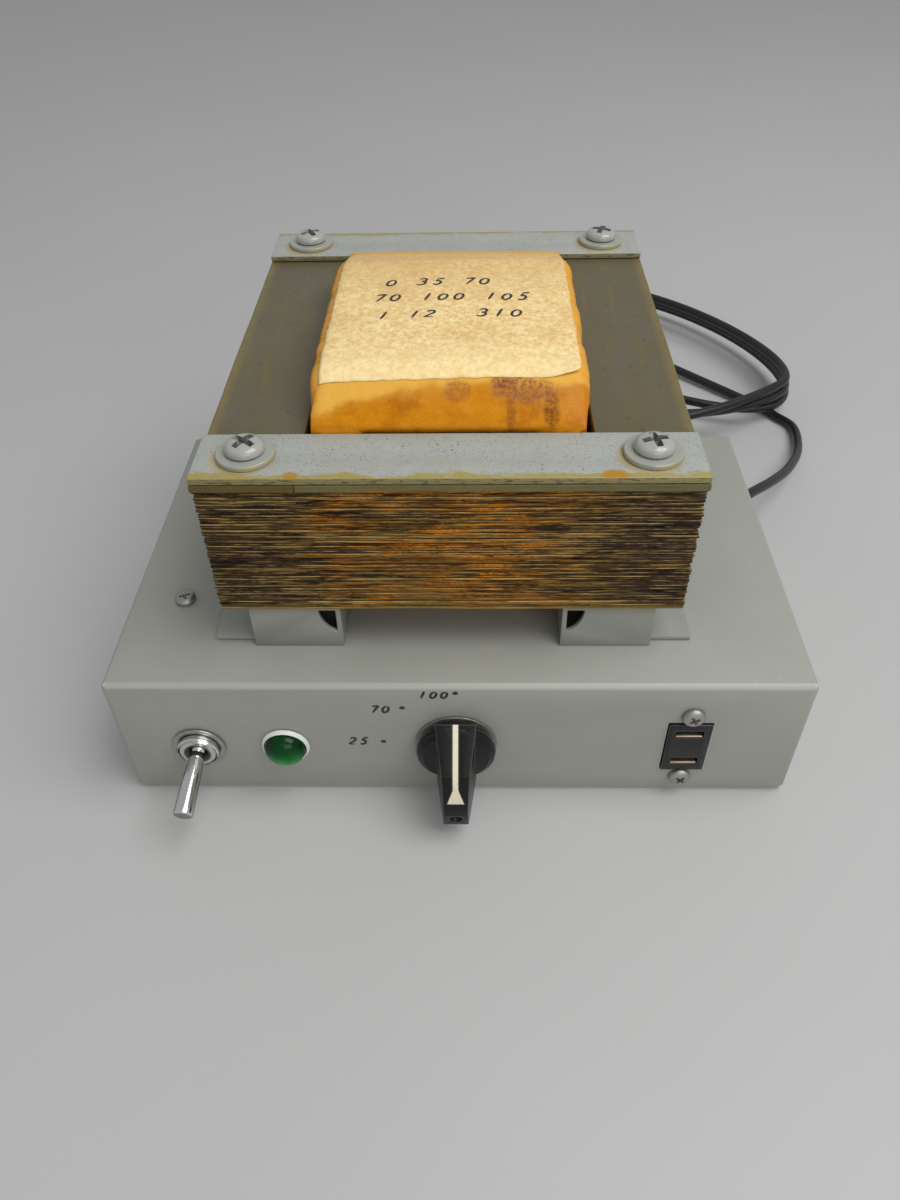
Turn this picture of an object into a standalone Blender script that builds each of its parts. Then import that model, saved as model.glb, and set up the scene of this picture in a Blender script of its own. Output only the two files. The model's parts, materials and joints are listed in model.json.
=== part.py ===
"""Tapped mains transformer unit on a folded steel chassis.

Metres, +Z up. The origin is the centre of the chassis underside, on the table.
The front panel faces -Y. A strip-laminated core lies flat on two pressed feet on
the chassis, and the controls sit in the front panel.
"""

import math

import bmesh
import bpy
from mathutils import Matrix, Vector

# Chassis
CHASSIS_WIDTH = 0.208
CHASSIS_DEPTH = 0.130
CHASSIS_HEIGHT = 0.050
SHEET = 0.0012
BEND_RADIUS = 0.0015
LIP_WIDTH = 0.011
COVER_INSET = 0.0010
COVER_SCREW_INSET = 0.0065
COVER_HEAD_RADIUS = 0.0027

# Clearance between neighbouring pieces, and between pieces let into each other
GAP = 0.0003
FINE_GAP = 0.00015

# Core: an outer pair of limbs, a centre limb and two yokes
CORE_CENTRE_X = -0.0017
CORE_SETBACK = 0.0147
CORE_WIDTH = 0.1336
CORE_DEPTH = 0.1583
CORE_STACK = 0.0440
LIMB_WIDTH = 0.0270
CENTRE_LIMB_WIDTH = 0.0440
YOKE_WIDTH = 0.0210
STACK_LAYERS = 5

# Feet
FOOT_HEIGHT = 0.0157
FOOT_SHEET = 0.0014
FOOT_INNER = 0.0323
FOOT_WALL = 0.0590
FOOT_TAB = 0.0714
FOOT_SETBACK = 0.0016
TAB_FRONT_SETBACK = 0.0023
TAB_REAR_MARGIN = 0.0040
FLANGE_NOTCH = (0.0058, 0.0092)
FOOT_SCREW_OFFSET = 0.0653
FOOT_SCREW_SETBACKS = (0.0450, 0.1120)

# Clamp straps and their bolts
STRAP_DEPTH = 0.0208
STRAP_THICKNESS = 0.0019
BOLT_RADIUS = 0.0025
BOLT_HEAD_RADIUS = 0.0053
BOLT_HEAD_HEIGHT = 0.0032
WASHER_RADIUS = 0.0078
WASHER_THICKNESS = 0.0012
NUT_ACROSS_FLATS = 0.0080
NUT_HEIGHT = 0.0040

# Coil
FORMER_WALL = 0.0012
COIL_HALF_WIDTH = 0.0386
COIL_BULGE = 0.0150
COIL_CROWN = 0.0010
COIL_CORNER = 0.0045
COIL_END_BULGE = 0.16
COIL_END_WAIST = 0.11
COIL_FRONT_RAMP = 0.0170
COIL_REAR_RAMP = 0.0340
COIL_RAMP_ROUNDNESS = (1.7, 1.15)
WRAP_THICKNESS = 0.0010
LABEL_THICKNESS = 0.0003
LABEL_HALF_WIDTH = 0.0360
LABEL_FRONT_SETBACK = 0.0310
LABEL_REAR_SETBACK = 0.1220

# Panel controls: x, and height above the table
TOGGLE_PLACE = (-0.0799, 0.0227)
LAMP_PLACE = (-0.0530, 0.0233)
SELECTOR_PLACE = (-0.0005, 0.0248)
OUTLET_PLACE = (0.0697, 0.0229)

TOGGLE_BUSHING_RADIUS = 0.0058
TOGGLE_BUSHING_OUT = 0.0034
TOGGLE_PIVOT_OUT = 0.0008
TOGGLE_THROW = math.radians(27.0)
TOGGLE_LEVER_LENGTH = 0.0223
TOGGLE_LEAN = math.radians(15.0)
LAMP_BEZEL_RADIUS = 0.00745
LAMP_LENS_RADIUS = 0.0063
SHAFT_RADIUS = 0.0030
RUNNING_GAP = 0.00008
KNOB_SKIRT_RADIUS = 0.0121
KNOB_SKIRT_BACK = 0.0036
KNOB_SKIRT_FRONT = 0.0064
KNOB_BASE_HALF_WIDTH = 0.0062
KNOB_FRONT_HALF_WIDTH = 0.0036
OUTLET_WIDTH = 0.0130
OUTLET_HEIGHT = 0.0215
BLADE_PITCH = 0.0127
OUTLET_SCREW_PITCH = 0.0288

# Mains cord
CORD_RADIUS = 0.0021
CORD_EXIT_SETBACK = 0.1185
CORD_EXIT_HEIGHT = 0.0250
CORD_PINCH = (0.1525, 0.1550)
CORD_LOOP_DIRECTION = math.radians(130.0)
CORD_LOOP_LENGTHS = (0.172, 0.138)
CORD_NEAR_WIDTHS = (-0.0040, 0.1200)
CORD_FAR_WIDTHS = (0.0480, 0.0260)
CORD_TURNS = 3.25
CORD_TURN_RISE = 0.0058
PLUG_PLACE = (-0.0050, 0.1900)
PLUG_RADIUS = 0.0085

# Places worked out from the driving dimensions
FRONT_Y = -CHASSIS_DEPTH / 2
REAR_Y = CHASSIS_DEPTH / 2
SIDE_X = CHASSIS_WIDTH / 2
CHASSIS_BOTTOM = SHEET + GAP
CORE_FRONT_Y = FRONT_Y + CORE_SETBACK
CORE_REAR_Y = CORE_FRONT_Y + CORE_DEPTH
CORE_CENTRE_Y = (CORE_FRONT_Y + CORE_REAR_Y) / 2
FOOT_BOTTOM = CHASSIS_HEIGHT + GAP
CORE_BOTTOM = FOOT_BOTTOM + FOOT_HEIGHT + GAP
CORE_TOP = CORE_BOTTOM + CORE_STACK
STRAP_BOTTOM = CORE_TOP + GAP
STRAP_TOP = STRAP_BOTTOM + STRAP_THICKNESS
BOLT_X = (CORE_WIDTH - LIMB_WIDTH) / 2
BOLT_INSET = YOKE_WIDTH / 2
WINDOW_FRONT_Y = CORE_FRONT_Y + YOKE_WIDTH + GAP
WINDOW_REAR_Y = CORE_REAR_Y - YOKE_WIDTH - GAP
BOLT_HOLE_RADIUS = BOLT_RADIUS + GAP

ROUND_STEPS = 24
SMALL_STEPS = 16
OUT_OF_PANEL = (math.pi / 2, 0.0, 0.0)
# Local x points up, local y out of the panel and local z to the right
UPRIGHT_SIDE_ON = (math.pi, -math.pi / 2, 0.0)
POINTING_DOWN = (math.pi, 0.0, 0.0)

PART_COLLECTION = "transformer_unit"
CUTTER_COLLECTION = "cutters"


# Scene and object helpers


def clear_scene():
    for obj in list(bpy.data.objects):
        bpy.data.objects.remove(obj, do_unlink=True)


def collection(name):
    found = bpy.data.collections.get(name)
    if found is None:
        found = bpy.data.collections.new(name)
        bpy.context.scene.collection.children.link(found)
    return found


def material(name, colour, roughness, metallic=0.0):
    made = bpy.data.materials.new(name)
    made.use_nodes = True
    shader = made.node_tree.nodes["Principled BSDF"]
    shader.inputs["Base Color"].default_value = (*colour, 1.0)
    shader.inputs["Roughness"].default_value = roughness
    shader.inputs["Metallic"].default_value = metallic
    return made


def new_object(name, data, finish, location=(0, 0, 0), rotation=(0, 0, 0)):
    if finish is not None and not data.materials:
        data.materials.append(finish)
    obj = bpy.data.objects.new(name, data)
    obj.location = location
    obj.rotation_euler = rotation
    collection(PART_COLLECTION).objects.link(obj)
    return obj


def as_cutter(obj):
    collection(PART_COLLECTION).objects.unlink(obj)
    collection(CUTTER_COLLECTION).objects.link(obj)
    obj.hide_render = True
    obj.display_type = "WIRE"
    return obj


def add_boolean(obj, other, operation):
    modifier = obj.modifiers.new(operation.lower(), "BOOLEAN")
    modifier.object = as_cutter(other)
    modifier.operation = operation
    modifier.solver = "EXACT"


def cut(obj, *cutters):
    for cutter in cutters:
        add_boolean(obj, cutter, "DIFFERENCE")


def add_bevel(obj, width, segments=2):
    modifier = obj.modifiers.new("rounded_edges", "BEVEL")
    modifier.width = width
    modifier.segments = segments
    modifier.limit_method = "ANGLE"
    modifier.angle_limit = math.radians(40)


def smooth(mesh):
    mesh.shade_smooth()
    mesh.set_sharp_from_angle(angle=math.radians(35))


def baked_mesh(obj):
    """The object's evaluated mesh, with caps welded; the object is removed."""
    graph = bpy.context.evaluated_depsgraph_get()
    graph.update()
    mesh = bpy.data.meshes.new_from_object(obj.evaluated_get(graph))
    mesh.name = obj.name
    welded = bmesh.new()
    welded.from_mesh(mesh)
    bmesh.ops.remove_doubles(welded, verts=welded.verts, dist=1e-7)
    flat = math.radians(0.1)
    bmesh.ops.dissolve_limit(
        welded, angle_limit=flat, verts=welded.verts, edges=welded.edges
    )
    welded.to_mesh(mesh)
    welded.free()
    bpy.data.objects.remove(obj, do_unlink=True)
    return mesh


def meshed(obj):
    """A mesh object in place of a curve object, so that it can be cut or joined."""
    name = obj.name
    world = obj.matrix_basis.copy()
    finish = obj.data.materials[0] if obj.data.materials else None
    mesh = baked_mesh(obj)
    made = new_object(name, mesh, finish)
    made.matrix_basis = world
    return made


# Shape helpers


def box(name, low, high, finish=None):
    mesh = bpy.data.meshes.new(name)
    shape = bmesh.new()
    bmesh.ops.create_cube(shape, size=1.0)
    size = Vector(high) - Vector(low)
    bmesh.ops.scale(shape, vec=size, verts=shape.verts)
    shape.to_mesh(mesh)
    shape.free()
    return new_object(name, mesh, finish, (Vector(low) + Vector(high)) / 2)


def rod(name, radius, start, end, finish=None, steps=SMALL_STEPS, end_radius=None):
    """A cylinder, or a cone with end_radius, between two points."""
    start = Vector(start)
    along = Vector(end) - start
    mesh = bpy.data.meshes.new(name)
    shape = bmesh.new()
    bmesh.ops.create_cone(
        shape,
        cap_ends=True,
        segments=steps,
        radius1=radius,
        radius2=radius if end_radius is None else end_radius,
        depth=along.length,
    )
    turn = Vector((0, 0, 1)).rotation_difference(along).to_matrix().to_4x4()
    bmesh.ops.transform(
        shape, matrix=Matrix.Translation(start + along / 2) @ turn, verts=shape.verts
    )
    shape.to_mesh(mesh)
    shape.free()
    smooth(mesh)
    return new_object(name, mesh, finish)


def turned(name, profile, finish, steps=ROUND_STEPS, ring=False, **place):
    """A profile of (radius, height) turned about Z; its outer side runs downwards."""
    points = [(radius, 0.0, height) for radius, height in profile]
    edges = [(i, i + 1) for i in range(len(points) - 1)]
    if ring:
        edges.append((len(points) - 1, 0))
    mesh = bpy.data.meshes.new(name)
    mesh.from_pydata(points, edges, [])
    obj = new_object(name, mesh, finish, **place)
    screw = obj.modifiers.new("turned", "SCREW")
    screw.steps = steps
    screw.render_steps = steps
    screw.use_merge_vertices = True
    screw.merge_threshold = 1e-6
    screw.use_smooth_shade = True
    return obj


def ring_profile(inner, outer, bottom, top):
    return [(outer, top), (outer, bottom), (inner, bottom), (inner, top)]


def circle(radius, centre=(0.0, 0.0), steps=SMALL_STEPS):
    return [
        (
            centre[0] + radius * math.cos(2 * math.pi * i / steps),
            centre[1] + radius * math.sin(2 * math.pi * i / steps),
        )
        for i in range(steps)
    ]


def plate(name, outlines, thickness, finish=None, **place):
    """Flat closed outlines, the later ones holes in the first, centred on their plane."""
    curve = bpy.data.curves.new(name, "CURVE")
    curve.dimensions = "2D"
    curve.fill_mode = "BOTH"
    curve.extrude = thickness / 2
    for outline in outlines:
        spline = curve.splines.new("POLY")
        spline.points.add(len(outline) - 1)
        for point, (x, y) in zip(spline.points, outline):
            point.co = (x, y, 0.0, 1.0)
        spline.use_cyclic_u = True
    return new_object(name, curve, finish, **place)


def tube(name, points, radius, finish):
    curve = bpy.data.curves.new(name, "CURVE")
    curve.dimensions = "3D"
    curve.bevel_depth = radius
    curve.bevel_resolution = 2
    curve.use_fill_caps = True
    spline = curve.splines.new("POLY")
    spline.points.add(len(points) - 1)
    for point, place in zip(spline.points, points):
        point.co = (*place, 1.0)
    return new_object(name, curve, finish)


def rectangle(left, right, bottom, top):
    return [(left, bottom), (right, bottom), (right, top), (left, top)]


def smooth_path(guides, steps):
    """Points on a Catmull-Rom curve through the guide points."""
    guides = [Vector(g) for g in guides]
    padded = [2 * guides[0] - guides[1], *guides, 2 * guides[-1] - guides[-2]]
    path = []
    for before, start, end, after in zip(padded, padded[1:], padded[2:], padded[3:]):
        for i in range(steps):
            t = i / steps
            path.append(
                0.5
                * (
                    2 * start
                    + (end - before) * t
                    + (2 * before - 5 * start + 4 * end - after) * t**2
                    + (3 * start - before - 3 * end + after) * t**3
                )
            )
    return [*path, guides[-1]]


def on_panel(place, out=0.0):
    """World point at a control's place, out in front of the panel's outer face."""
    return Vector((place[0], FRONT_Y - out, place[1]))


# Fasteners


def cross_recessed_mesh(name, profile, radius, finish):
    """A turned screw whose head top, the profile's first point, has a cross recess."""
    top = profile[0][1]
    screw = turned(name, profile, finish, steps=SMALL_STEPS)
    arm = 0.52 * radius
    slot = 0.13 * radius
    depth = 0.34 * radius
    cutters = [
        box(name + "_recess_x", (-arm, -slot, top - depth), (arm, slot, top + depth)),
        box(name + "_recess_y", (-slot, -arm, top - depth), (slot, arm, top + depth)),
    ]
    cut(screw, *cutters)
    mesh = baked_mesh(screw)
    for cutter in cutters:
        bpy.data.objects.remove(cutter, do_unlink=True)
    smooth(mesh)
    return mesh


def pan_head_mesh(name, radius, height, shank_radius, shank_length, finish):
    """A domed head above z = 0, with its shank hanging below."""
    rim = 0.45 * height
    profile = [(0.0, height)]
    for i in range(1, 4):
        angle = math.radians(90 - 90 * i / 3)
        profile.append((radius * math.cos(angle), rim + (height - rim) * math.sin(angle)))
    profile += [(radius, 0.0), (shank_radius, 0.0), (shank_radius, -shank_length)]
    profile += [(0.0, -shank_length)]
    return cross_recessed_mesh(name, profile, radius, finish)


def countersunk_mesh(name, radius, height, shank_radius, shank_length, finish):
    """A conical head whose flat top is at z = 0, with its shank hanging below."""
    profile = [(0.0, 0.0), (radius, 0.0), (shank_radius, -height)]
    profile += [(shank_radius, -shank_length), (0.0, -shank_length)]
    return cross_recessed_mesh(name, profile, radius, finish)


def hex_nut_mesh(name, across_flats, height, hole_radius, finish):
    corner = across_flats / math.sqrt(3)
    outline = circle(corner, steps=6)
    nut = plate(name, [outline, circle(hole_radius)], height, finish)
    return baked_mesh(nut)


# Chassis


def screw_corners(half_x, half_y):
    """Corner places by name."""
    return {
        "front_left": (-half_x, -half_y),
        "front_right": (half_x, -half_y),
        "rear_left": (-half_x, half_y),
        "rear_right": (half_x, half_y),
    }


def folded_shell(name, finish):
    """The five-sided sheet box with lips turned in under it, still without holes."""
    mesh = bpy.data.meshes.new(name)
    shape = bmesh.new()
    bmesh.ops.create_cube(shape, size=1.0)
    size = (CHASSIS_WIDTH, CHASSIS_DEPTH, CHASSIS_HEIGHT - CHASSIS_BOTTOM)
    bmesh.ops.scale(shape, vec=size, verts=shape.verts)
    underside = [face for face in shape.faces if face.normal.z < -0.5]
    bmesh.ops.inset_region(shape, faces=underside, thickness=LIP_WIDTH)
    bmesh.ops.delete(shape, geom=underside, context="FACES")
    shape.to_mesh(mesh)
    shape.free()
    middle = (CHASSIS_HEIGHT + CHASSIS_BOTTOM) / 2
    shell = new_object(name, mesh, finish, (0, 0, middle))
    add_bevel(shell, BEND_RADIUS, 2)
    sheet = shell.modifiers.new("sheet", "SOLIDIFY")
    sheet.thickness = SHEET
    sheet.offset = -1.0
    sheet.use_even_offset = True
    return shell


def panel_hole(name, place, radius):
    return rod(name, radius, on_panel(place, 0.004), on_panel(place, -0.006), steps=20)


def lead_hole_place():
    return Vector((CORE_CENTRE_X, WINDOW_FRONT_Y + 0.0150, CHASSIS_HEIGHT))


def cord_exit():
    return Vector((SIDE_X, FRONT_Y + CORD_EXIT_SETBACK, CORD_EXIT_HEIGHT))


def tag_screw_place():
    return Vector((-0.0867, FRONT_Y + 0.0365, CHASSIS_HEIGHT))


def top_hole(name, place, radius):
    above = Vector((place[0], place[1], CHASSIS_HEIGHT + 0.004))
    below = Vector((place[0], place[1], CHASSIS_HEIGHT - 0.006))
    return rod(name, radius, below, above)


def foot_screw_places():
    """Foot screw places by name, on the chassis top."""
    places = {}
    for side, sign in (("left", -1), ("right", 1)):
        for end, setback in zip(("front", "rear"), FOOT_SCREW_SETBACKS):
            x = CORE_CENTRE_X + sign * FOOT_SCREW_OFFSET
            places[f"{side}_{end}"] = (x, FRONT_Y + setback)
    return places


def make_chassis(paint):
    shell = folded_shell("chassis_box", paint)
    cut(
        shell,
        panel_hole("toggle_hole", TOGGLE_PLACE, TOGGLE_BUSHING_RADIUS + GAP),
        panel_hole("lamp_hole", LAMP_PLACE, LAMP_LENS_RADIUS - 0.0003),
        panel_hole("selector_hole", SELECTOR_PLACE, 0.0048),
        box(
            "outlet_hole",
            on_panel(OUTLET_PLACE) + Vector((-OUTLET_WIDTH, -0.008, -OUTLET_HEIGHT)) / 2
            - Vector((GAP, 0, GAP)),
            on_panel(OUTLET_PLACE) + Vector((OUTLET_WIDTH, 0.012, OUTLET_HEIGHT)) / 2
            + Vector((GAP, 0, GAP)),
        ),
        top_hole("lead_hole", lead_hole_place(), 0.0045),
        top_hole("tag_hole", tag_screw_place(), 0.0019),
        rod(
            "cord_hole",
            0.0048,
            cord_exit() - Vector((0.006, 0, 0)),
            cord_exit() + Vector((0.006, 0, 0)),
        ),
    )
    for sign in (-1, 1):
        place = (OUTLET_PLACE[0], OUTLET_PLACE[1] + sign * OUTLET_SCREW_PITCH / 2)
        cut(shell, panel_hole(f"outlet_screw_hole_{sign}", place, 0.0018))
    for name, place in foot_screw_places().items():
        cut(shell, top_hole(f"foot_hole_{name}", place, 0.0023))
    for name, (x, y) in cover_screw_places().items():
        cut(shell, rod(f"lip_hole_{name}", 0.0017, (x, y, -0.002), (x, y, 0.006)))
    return shell


def cover_screw_places():
    return screw_corners(SIDE_X - COVER_SCREW_INSET, REAR_Y - COVER_SCREW_INSET)


def make_bottom_cover(paint, zinc):
    half_x = SIDE_X - COVER_INSET
    half_y = REAR_Y - COVER_INSET
    cover = box("bottom_cover", (-half_x, -half_y, 0.0), (half_x, half_y, SHEET), paint)
    mesh = countersunk_mesh(
        "cover_screw", COVER_HEAD_RADIUS, SHEET - FINE_GAP, 0.0013, 0.0060, zinc
    )
    for name, (x, y) in cover_screw_places().items():
        wide = COVER_HEAD_RADIUS + 2 * GAP
        sink = rod(
            f"countersink_{name}", wide, (x, y, 0.0), (x, y, SHEET), end_radius=0.0013 + 2 * GAP
        )
        mouth = rod(f"sink_mouth_{name}", wide, (x, y, -0.001), (x, y, 0.0001))
        exit_hole = rod(f"sink_exit_{name}", 0.0017, (x, y, 0.0005), (x, y, 0.003))
        cut(cover, sink, mouth, exit_hole)
        place = (x, y, FINE_GAP)
        new_object(f"cover_screw_{name}", mesh, zinc, place, POINTING_DOWN)


# Core


def notched_layers(name, low, high, axis, reach, short_layer, steel):
    """A block whose every second layer stops short of both ends, along the given axis."""
    block = box(name, low, high, steel)
    layer = CORE_STACK / STACK_LAYERS
    beyond = 0.002
    for i in range(short_layer, STACK_LAYERS, 2):
        bottom = CORE_BOTTOM + i * layer - (GAP / 2 if i > 0 else beyond)
        top = CORE_BOTTOM + (i + 1) * layer + (GAP / 2 if i < STACK_LAYERS - 1 else beyond)
        for end, sign in (("start", -1), ("end", 1)):
            notch_low = [low[0] - beyond, low[1] - beyond, bottom]
            notch_high = [high[0] + beyond, high[1] + beyond, top]
            if sign < 0:
                notch_high[axis] = low[axis] + reach
            else:
                notch_low[axis] = high[axis] - reach
            cut(block, box(f"{name}_notch_{i}_{end}", notch_low, notch_high))
    return block


def bolt_places():
    half_y = CORE_DEPTH / 2 - BOLT_INSET
    return {
        name: (CORE_CENTRE_X + x, CORE_CENTRE_Y + y)
        for name, (x, y) in screw_corners(BOLT_X, half_y).items()
    }


def bolt_hole(name, place):
    return rod(name, BOLT_HOLE_RADIUS, (*place, CORE_BOTTOM - 0.003), (*place, CORE_TOP + 0.003))


def make_outer_limb(side, sign, steel):
    x = CORE_CENTRE_X + sign * (CORE_WIDTH - LIMB_WIDTH) / 2
    limb = notched_layers(
        f"core_limb_{side}",
        (x - LIMB_WIDTH / 2, CORE_FRONT_Y, CORE_BOTTOM),
        (x + LIMB_WIDTH / 2, CORE_REAR_Y, CORE_TOP),
        1,
        YOKE_WIDTH + GAP,
        1,
        steel,
    )
    for name, place in bolt_places().items():
        if side in name:
            cut(limb, bolt_hole(f"limb_hole_{name}", place))


def make_yoke(end, y, steel):
    half = CORE_WIDTH / 2
    yoke = notched_layers(
        f"core_yoke_{end}",
        (CORE_CENTRE_X - half, y - YOKE_WIDTH / 2, CORE_BOTTOM),
        (CORE_CENTRE_X + half, y + YOKE_WIDTH / 2, CORE_TOP),
        0,
        LIMB_WIDTH + GAP,
        0,
        steel,
    )
    for name, place in bolt_places().items():
        if end in name:
            cut(yoke, bolt_hole(f"yoke_hole_{name}", place))


def make_core(steel):
    make_outer_limb("left", -1, steel)
    make_outer_limb("right", 1, steel)
    make_yoke("front", CORE_FRONT_Y + YOKE_WIDTH / 2, steel)
    make_yoke("rear", CORE_REAR_Y - YOKE_WIDTH / 2, steel)
    half = CENTRE_LIMB_WIDTH / 2
    box(
        "core_limb_centre",
        (CORE_CENTRE_X - half, WINDOW_FRONT_Y, CORE_BOTTOM),
        (CORE_CENTRE_X + half, WINDOW_REAR_Y, CORE_TOP),
        steel,
    )


# Clamping


def make_strap(end, y, paint):
    outlines = [
        rectangle(-CORE_WIDTH / 2, CORE_WIDTH / 2, -STRAP_DEPTH / 2, STRAP_DEPTH / 2),
        circle(BOLT_HOLE_RADIUS, (-BOLT_X, 0.0)),
        circle(BOLT_HOLE_RADIUS, (BOLT_X, 0.0)),
    ]
    middle = (STRAP_BOTTOM + STRAP_TOP) / 2
    place = (CORE_CENTRE_X, y, middle)
    plate(f"clamp_strap_{end}", outlines, STRAP_THICKNESS, paint, location=place)


def make_clamps(paint, zinc):
    make_strap("front", CORE_FRONT_Y + STRAP_DEPTH / 2, paint)
    make_strap("rear", CORE_REAR_Y - STRAP_DEPTH / 2, paint)
    washer_bottom = STRAP_TOP + GAP
    head_bottom = washer_bottom + WASHER_THICKNESS + GAP
    nut_top = CORE_BOTTOM - GAP - FOOT_SHEET - GAP
    shank = head_bottom - nut_top + NUT_HEIGHT + 0.0012
    bolt = pan_head_mesh(
        "clamp_bolt", BOLT_HEAD_RADIUS, BOLT_HEAD_HEIGHT, BOLT_RADIUS, shank, paint
    )
    nut = hex_nut_mesh("clamp_nut", NUT_ACROSS_FLATS, NUT_HEIGHT, BOLT_HOLE_RADIUS, zinc)
    for name, (x, y) in bolt_places().items():
        new_object(f"clamp_bolt_{name}", bolt, paint, (x, y, head_bottom))
        turned(
            f"clamp_washer_{name}",
            ring_profile(BOLT_HOLE_RADIUS, WASHER_RADIUS, 0.0, WASHER_THICKNESS),
            paint,
            steps=20,
            ring=True,
            location=(x, y, washer_bottom),
        )
        place = (x, y, nut_top - NUT_HEIGHT / 2)
        new_object(f"clamp_nut_{name}", nut, zinc, place, (0, 0, math.pi / 6))


# Feet


def foot_section(sign):
    """Channel open below, with a tab turned out from its outer wall."""
    points = [
        (FOOT_TAB, 0.0),
        (FOOT_WALL - FOOT_SHEET, 0.0),
        (FOOT_WALL - FOOT_SHEET, FOOT_HEIGHT - FOOT_SHEET),
        (FOOT_INNER + FOOT_SHEET, FOOT_HEIGHT - FOOT_SHEET),
        (FOOT_INNER + FOOT_SHEET, 0.0),
        (FOOT_INNER, 0.0),
        (FOOT_INNER, FOOT_HEIGHT),
        (FOOT_WALL, FOOT_HEIGHT),
        (FOOT_WALL, FOOT_SHEET),
        (FOOT_TAB, FOOT_SHEET),
    ]
    return [(sign * x, z) for x, z in points]


def front_flange_outline(sign):
    """The foot's turned-down front, with a quarter-round notch at its inner top corner."""
    top = FOOT_HEIGHT - FOOT_SHEET / 2
    inner = FOOT_INNER + FOOT_SHEET / 2
    outer = FOOT_WALL - FOOT_SHEET / 2
    across, down = FLANGE_NOTCH
    steps = 6
    outline = [(inner, 0.0), (outer, 0.0), (outer, top)]
    for i in range(steps + 1):
        angle = math.pi / 2 * i / steps
        x = inner + across * math.cos(angle)
        outline.append((x, top - down * math.sin(angle)))
    return [(sign * x, z) for x, z in outline]


def make_foot(side, sign, metal):
    front = CORE_FRONT_Y + FOOT_SETBACK
    rear = CORE_REAR_Y - FOOT_SETBACK
    place = {"rotation": OUT_OF_PANEL, "finish": metal}
    body = meshed(
        plate(
            f"foot_{side}",
            [foot_section(sign)],
            rear - front,
            location=(CORE_CENTRE_X, (front + rear) / 2, FOOT_BOTTOM),
            **place,
        )
    )
    flange = meshed(
        plate(
            f"foot_flange_{side}",
            [front_flange_outline(sign)],
            FOOT_SHEET,
            location=(CORE_CENTRE_X, front + FOOT_SHEET / 2, FOOT_BOTTOM),
            **place,
        )
    )
    add_boolean(body, flange, "UNION")
    beside_coil = sorted(
        (CORE_CENTRE_X + sign * 0.02, CORE_CENTRE_X + sign * (COIL_HALF_WIDTH + 2 * GAP))
    )
    low = (beside_coil[0], WINDOW_FRONT_Y - 0.001, FOOT_BOTTOM - 0.002)
    high = (beside_coil[1], WINDOW_REAR_Y + 0.001, CORE_BOTTOM + 0.002)
    cut(body, box(f"coil_clearance_{side}", low, high))
    outside = sorted((CORE_CENTRE_X + sign * FOOT_WALL, CORE_CENTRE_X + sign * 0.09))
    spans = {
        "tab_front": (front - 0.002, front + TAB_FRONT_SETBACK),
        "tab_rear": (REAR_Y - TAB_REAR_MARGIN, rear + 0.002),
    }
    for name, (start, end) in spans.items():
        low = (outside[0], start, FOOT_BOTTOM - 0.002)
        high = (outside[1], end, FOOT_BOTTOM + 0.004)
        cut(body, box(f"{name}_{side}", low, high))
    for name, (x, y) in bolt_places().items():
        if side in name:
            top = CORE_BOTTOM + 0.002
            cut(body, rod(f"foot_bolt_{name}", BOLT_HOLE_RADIUS, (x, y, top - 0.006), (x, y, top)))
    for name, (x, y) in foot_screw_places().items():
        if side in name:
            low = FOOT_BOTTOM - 0.002
            cut(body, rod(f"tab_hole_{name}", 0.0023, (x, y, low), (x, y, low + 0.006)))


def make_feet(metal, zinc):
    make_foot("left", -1, metal)
    make_foot("right", 1, metal)
    mesh = pan_head_mesh("foot_screw", 0.0038, 0.0024, 0.0020, 0.0080, zinc)
    height = FOOT_BOTTOM + FOOT_SHEET + GAP
    for name, (x, y) in foot_screw_places().items():
        new_object(f"foot_screw_{name}", mesh, zinc, (x, y, height))


# Coil


def crowned_outline(half_width, half_height, corner, crown):
    """A rounded rectangle whose top and bottom swell by the crown at the middle."""
    steps = 5
    quarter = []
    for i in range(steps + 1):
        angle = math.pi / 2 * i / steps
        x = half_width - corner + corner * math.cos(angle)
        z = half_height - corner + corner * math.sin(angle)
        quarter.append((x, z))
    flat = half_width - corner
    across = [(flat * (1 - i / 3), half_height) for i in range(1, 4)]
    upper = quarter + across
    upper += [(-x, z) for x, z in reversed(upper[:-1])]
    outline = upper + [(x, -z) for x, z in reversed(upper)]
    return [(x, z + math.copysign(crown_at(x, half_width, crown), z)) for x, z in outline]


def crown_at(x, half_width, crown):
    return crown * (1 - (x / half_width) ** 2)


def coil_half_height():
    """Half the coil's height at its shoulders, below the crown."""
    return CORE_STACK / 2 + COIL_BULGE - COIL_CROWN


def coil_outline(inset):
    """The coil's cross-section, a distance in from its outside."""
    corner = max(COIL_CORNER - inset, 0.002)
    return crowned_outline(
        COIL_HALF_WIDTH - inset, coil_half_height() - inset, corner, COIL_CROWN
    )


def swell_at(y):
    """How far the coil swells out of the core at y, from its end share up to 1."""
    ramps = (
        ((y - WINDOW_FRONT_Y) / COIL_FRONT_RAMP, COIL_RAMP_ROUNDNESS[0]),
        ((WINDOW_REAR_Y - y) / COIL_REAR_RAMP, COIL_RAMP_ROUNDNESS[1]),
    )
    swell = 1.0
    for share, roundness in ramps:
        rise = 1 - (1 - min(max(share, 0.0), 1.0)) ** roundness
        swell = min(swell, COIL_END_BULGE + (1 - COIL_END_BULGE) * rise)
    return swell


def former_half_size():
    wall = GAP + FORMER_WALL
    return CENTRE_LIMB_WIDTH / 2 + wall, CORE_STACK / 2 + wall


def beyond_scaled(value, limit, scale):
    """The value, with what it has beyond the limit on either side of zero scaled."""
    if abs(value) <= limit:
        return value
    return math.copysign(limit + (abs(value) - limit) * scale, value)


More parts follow.
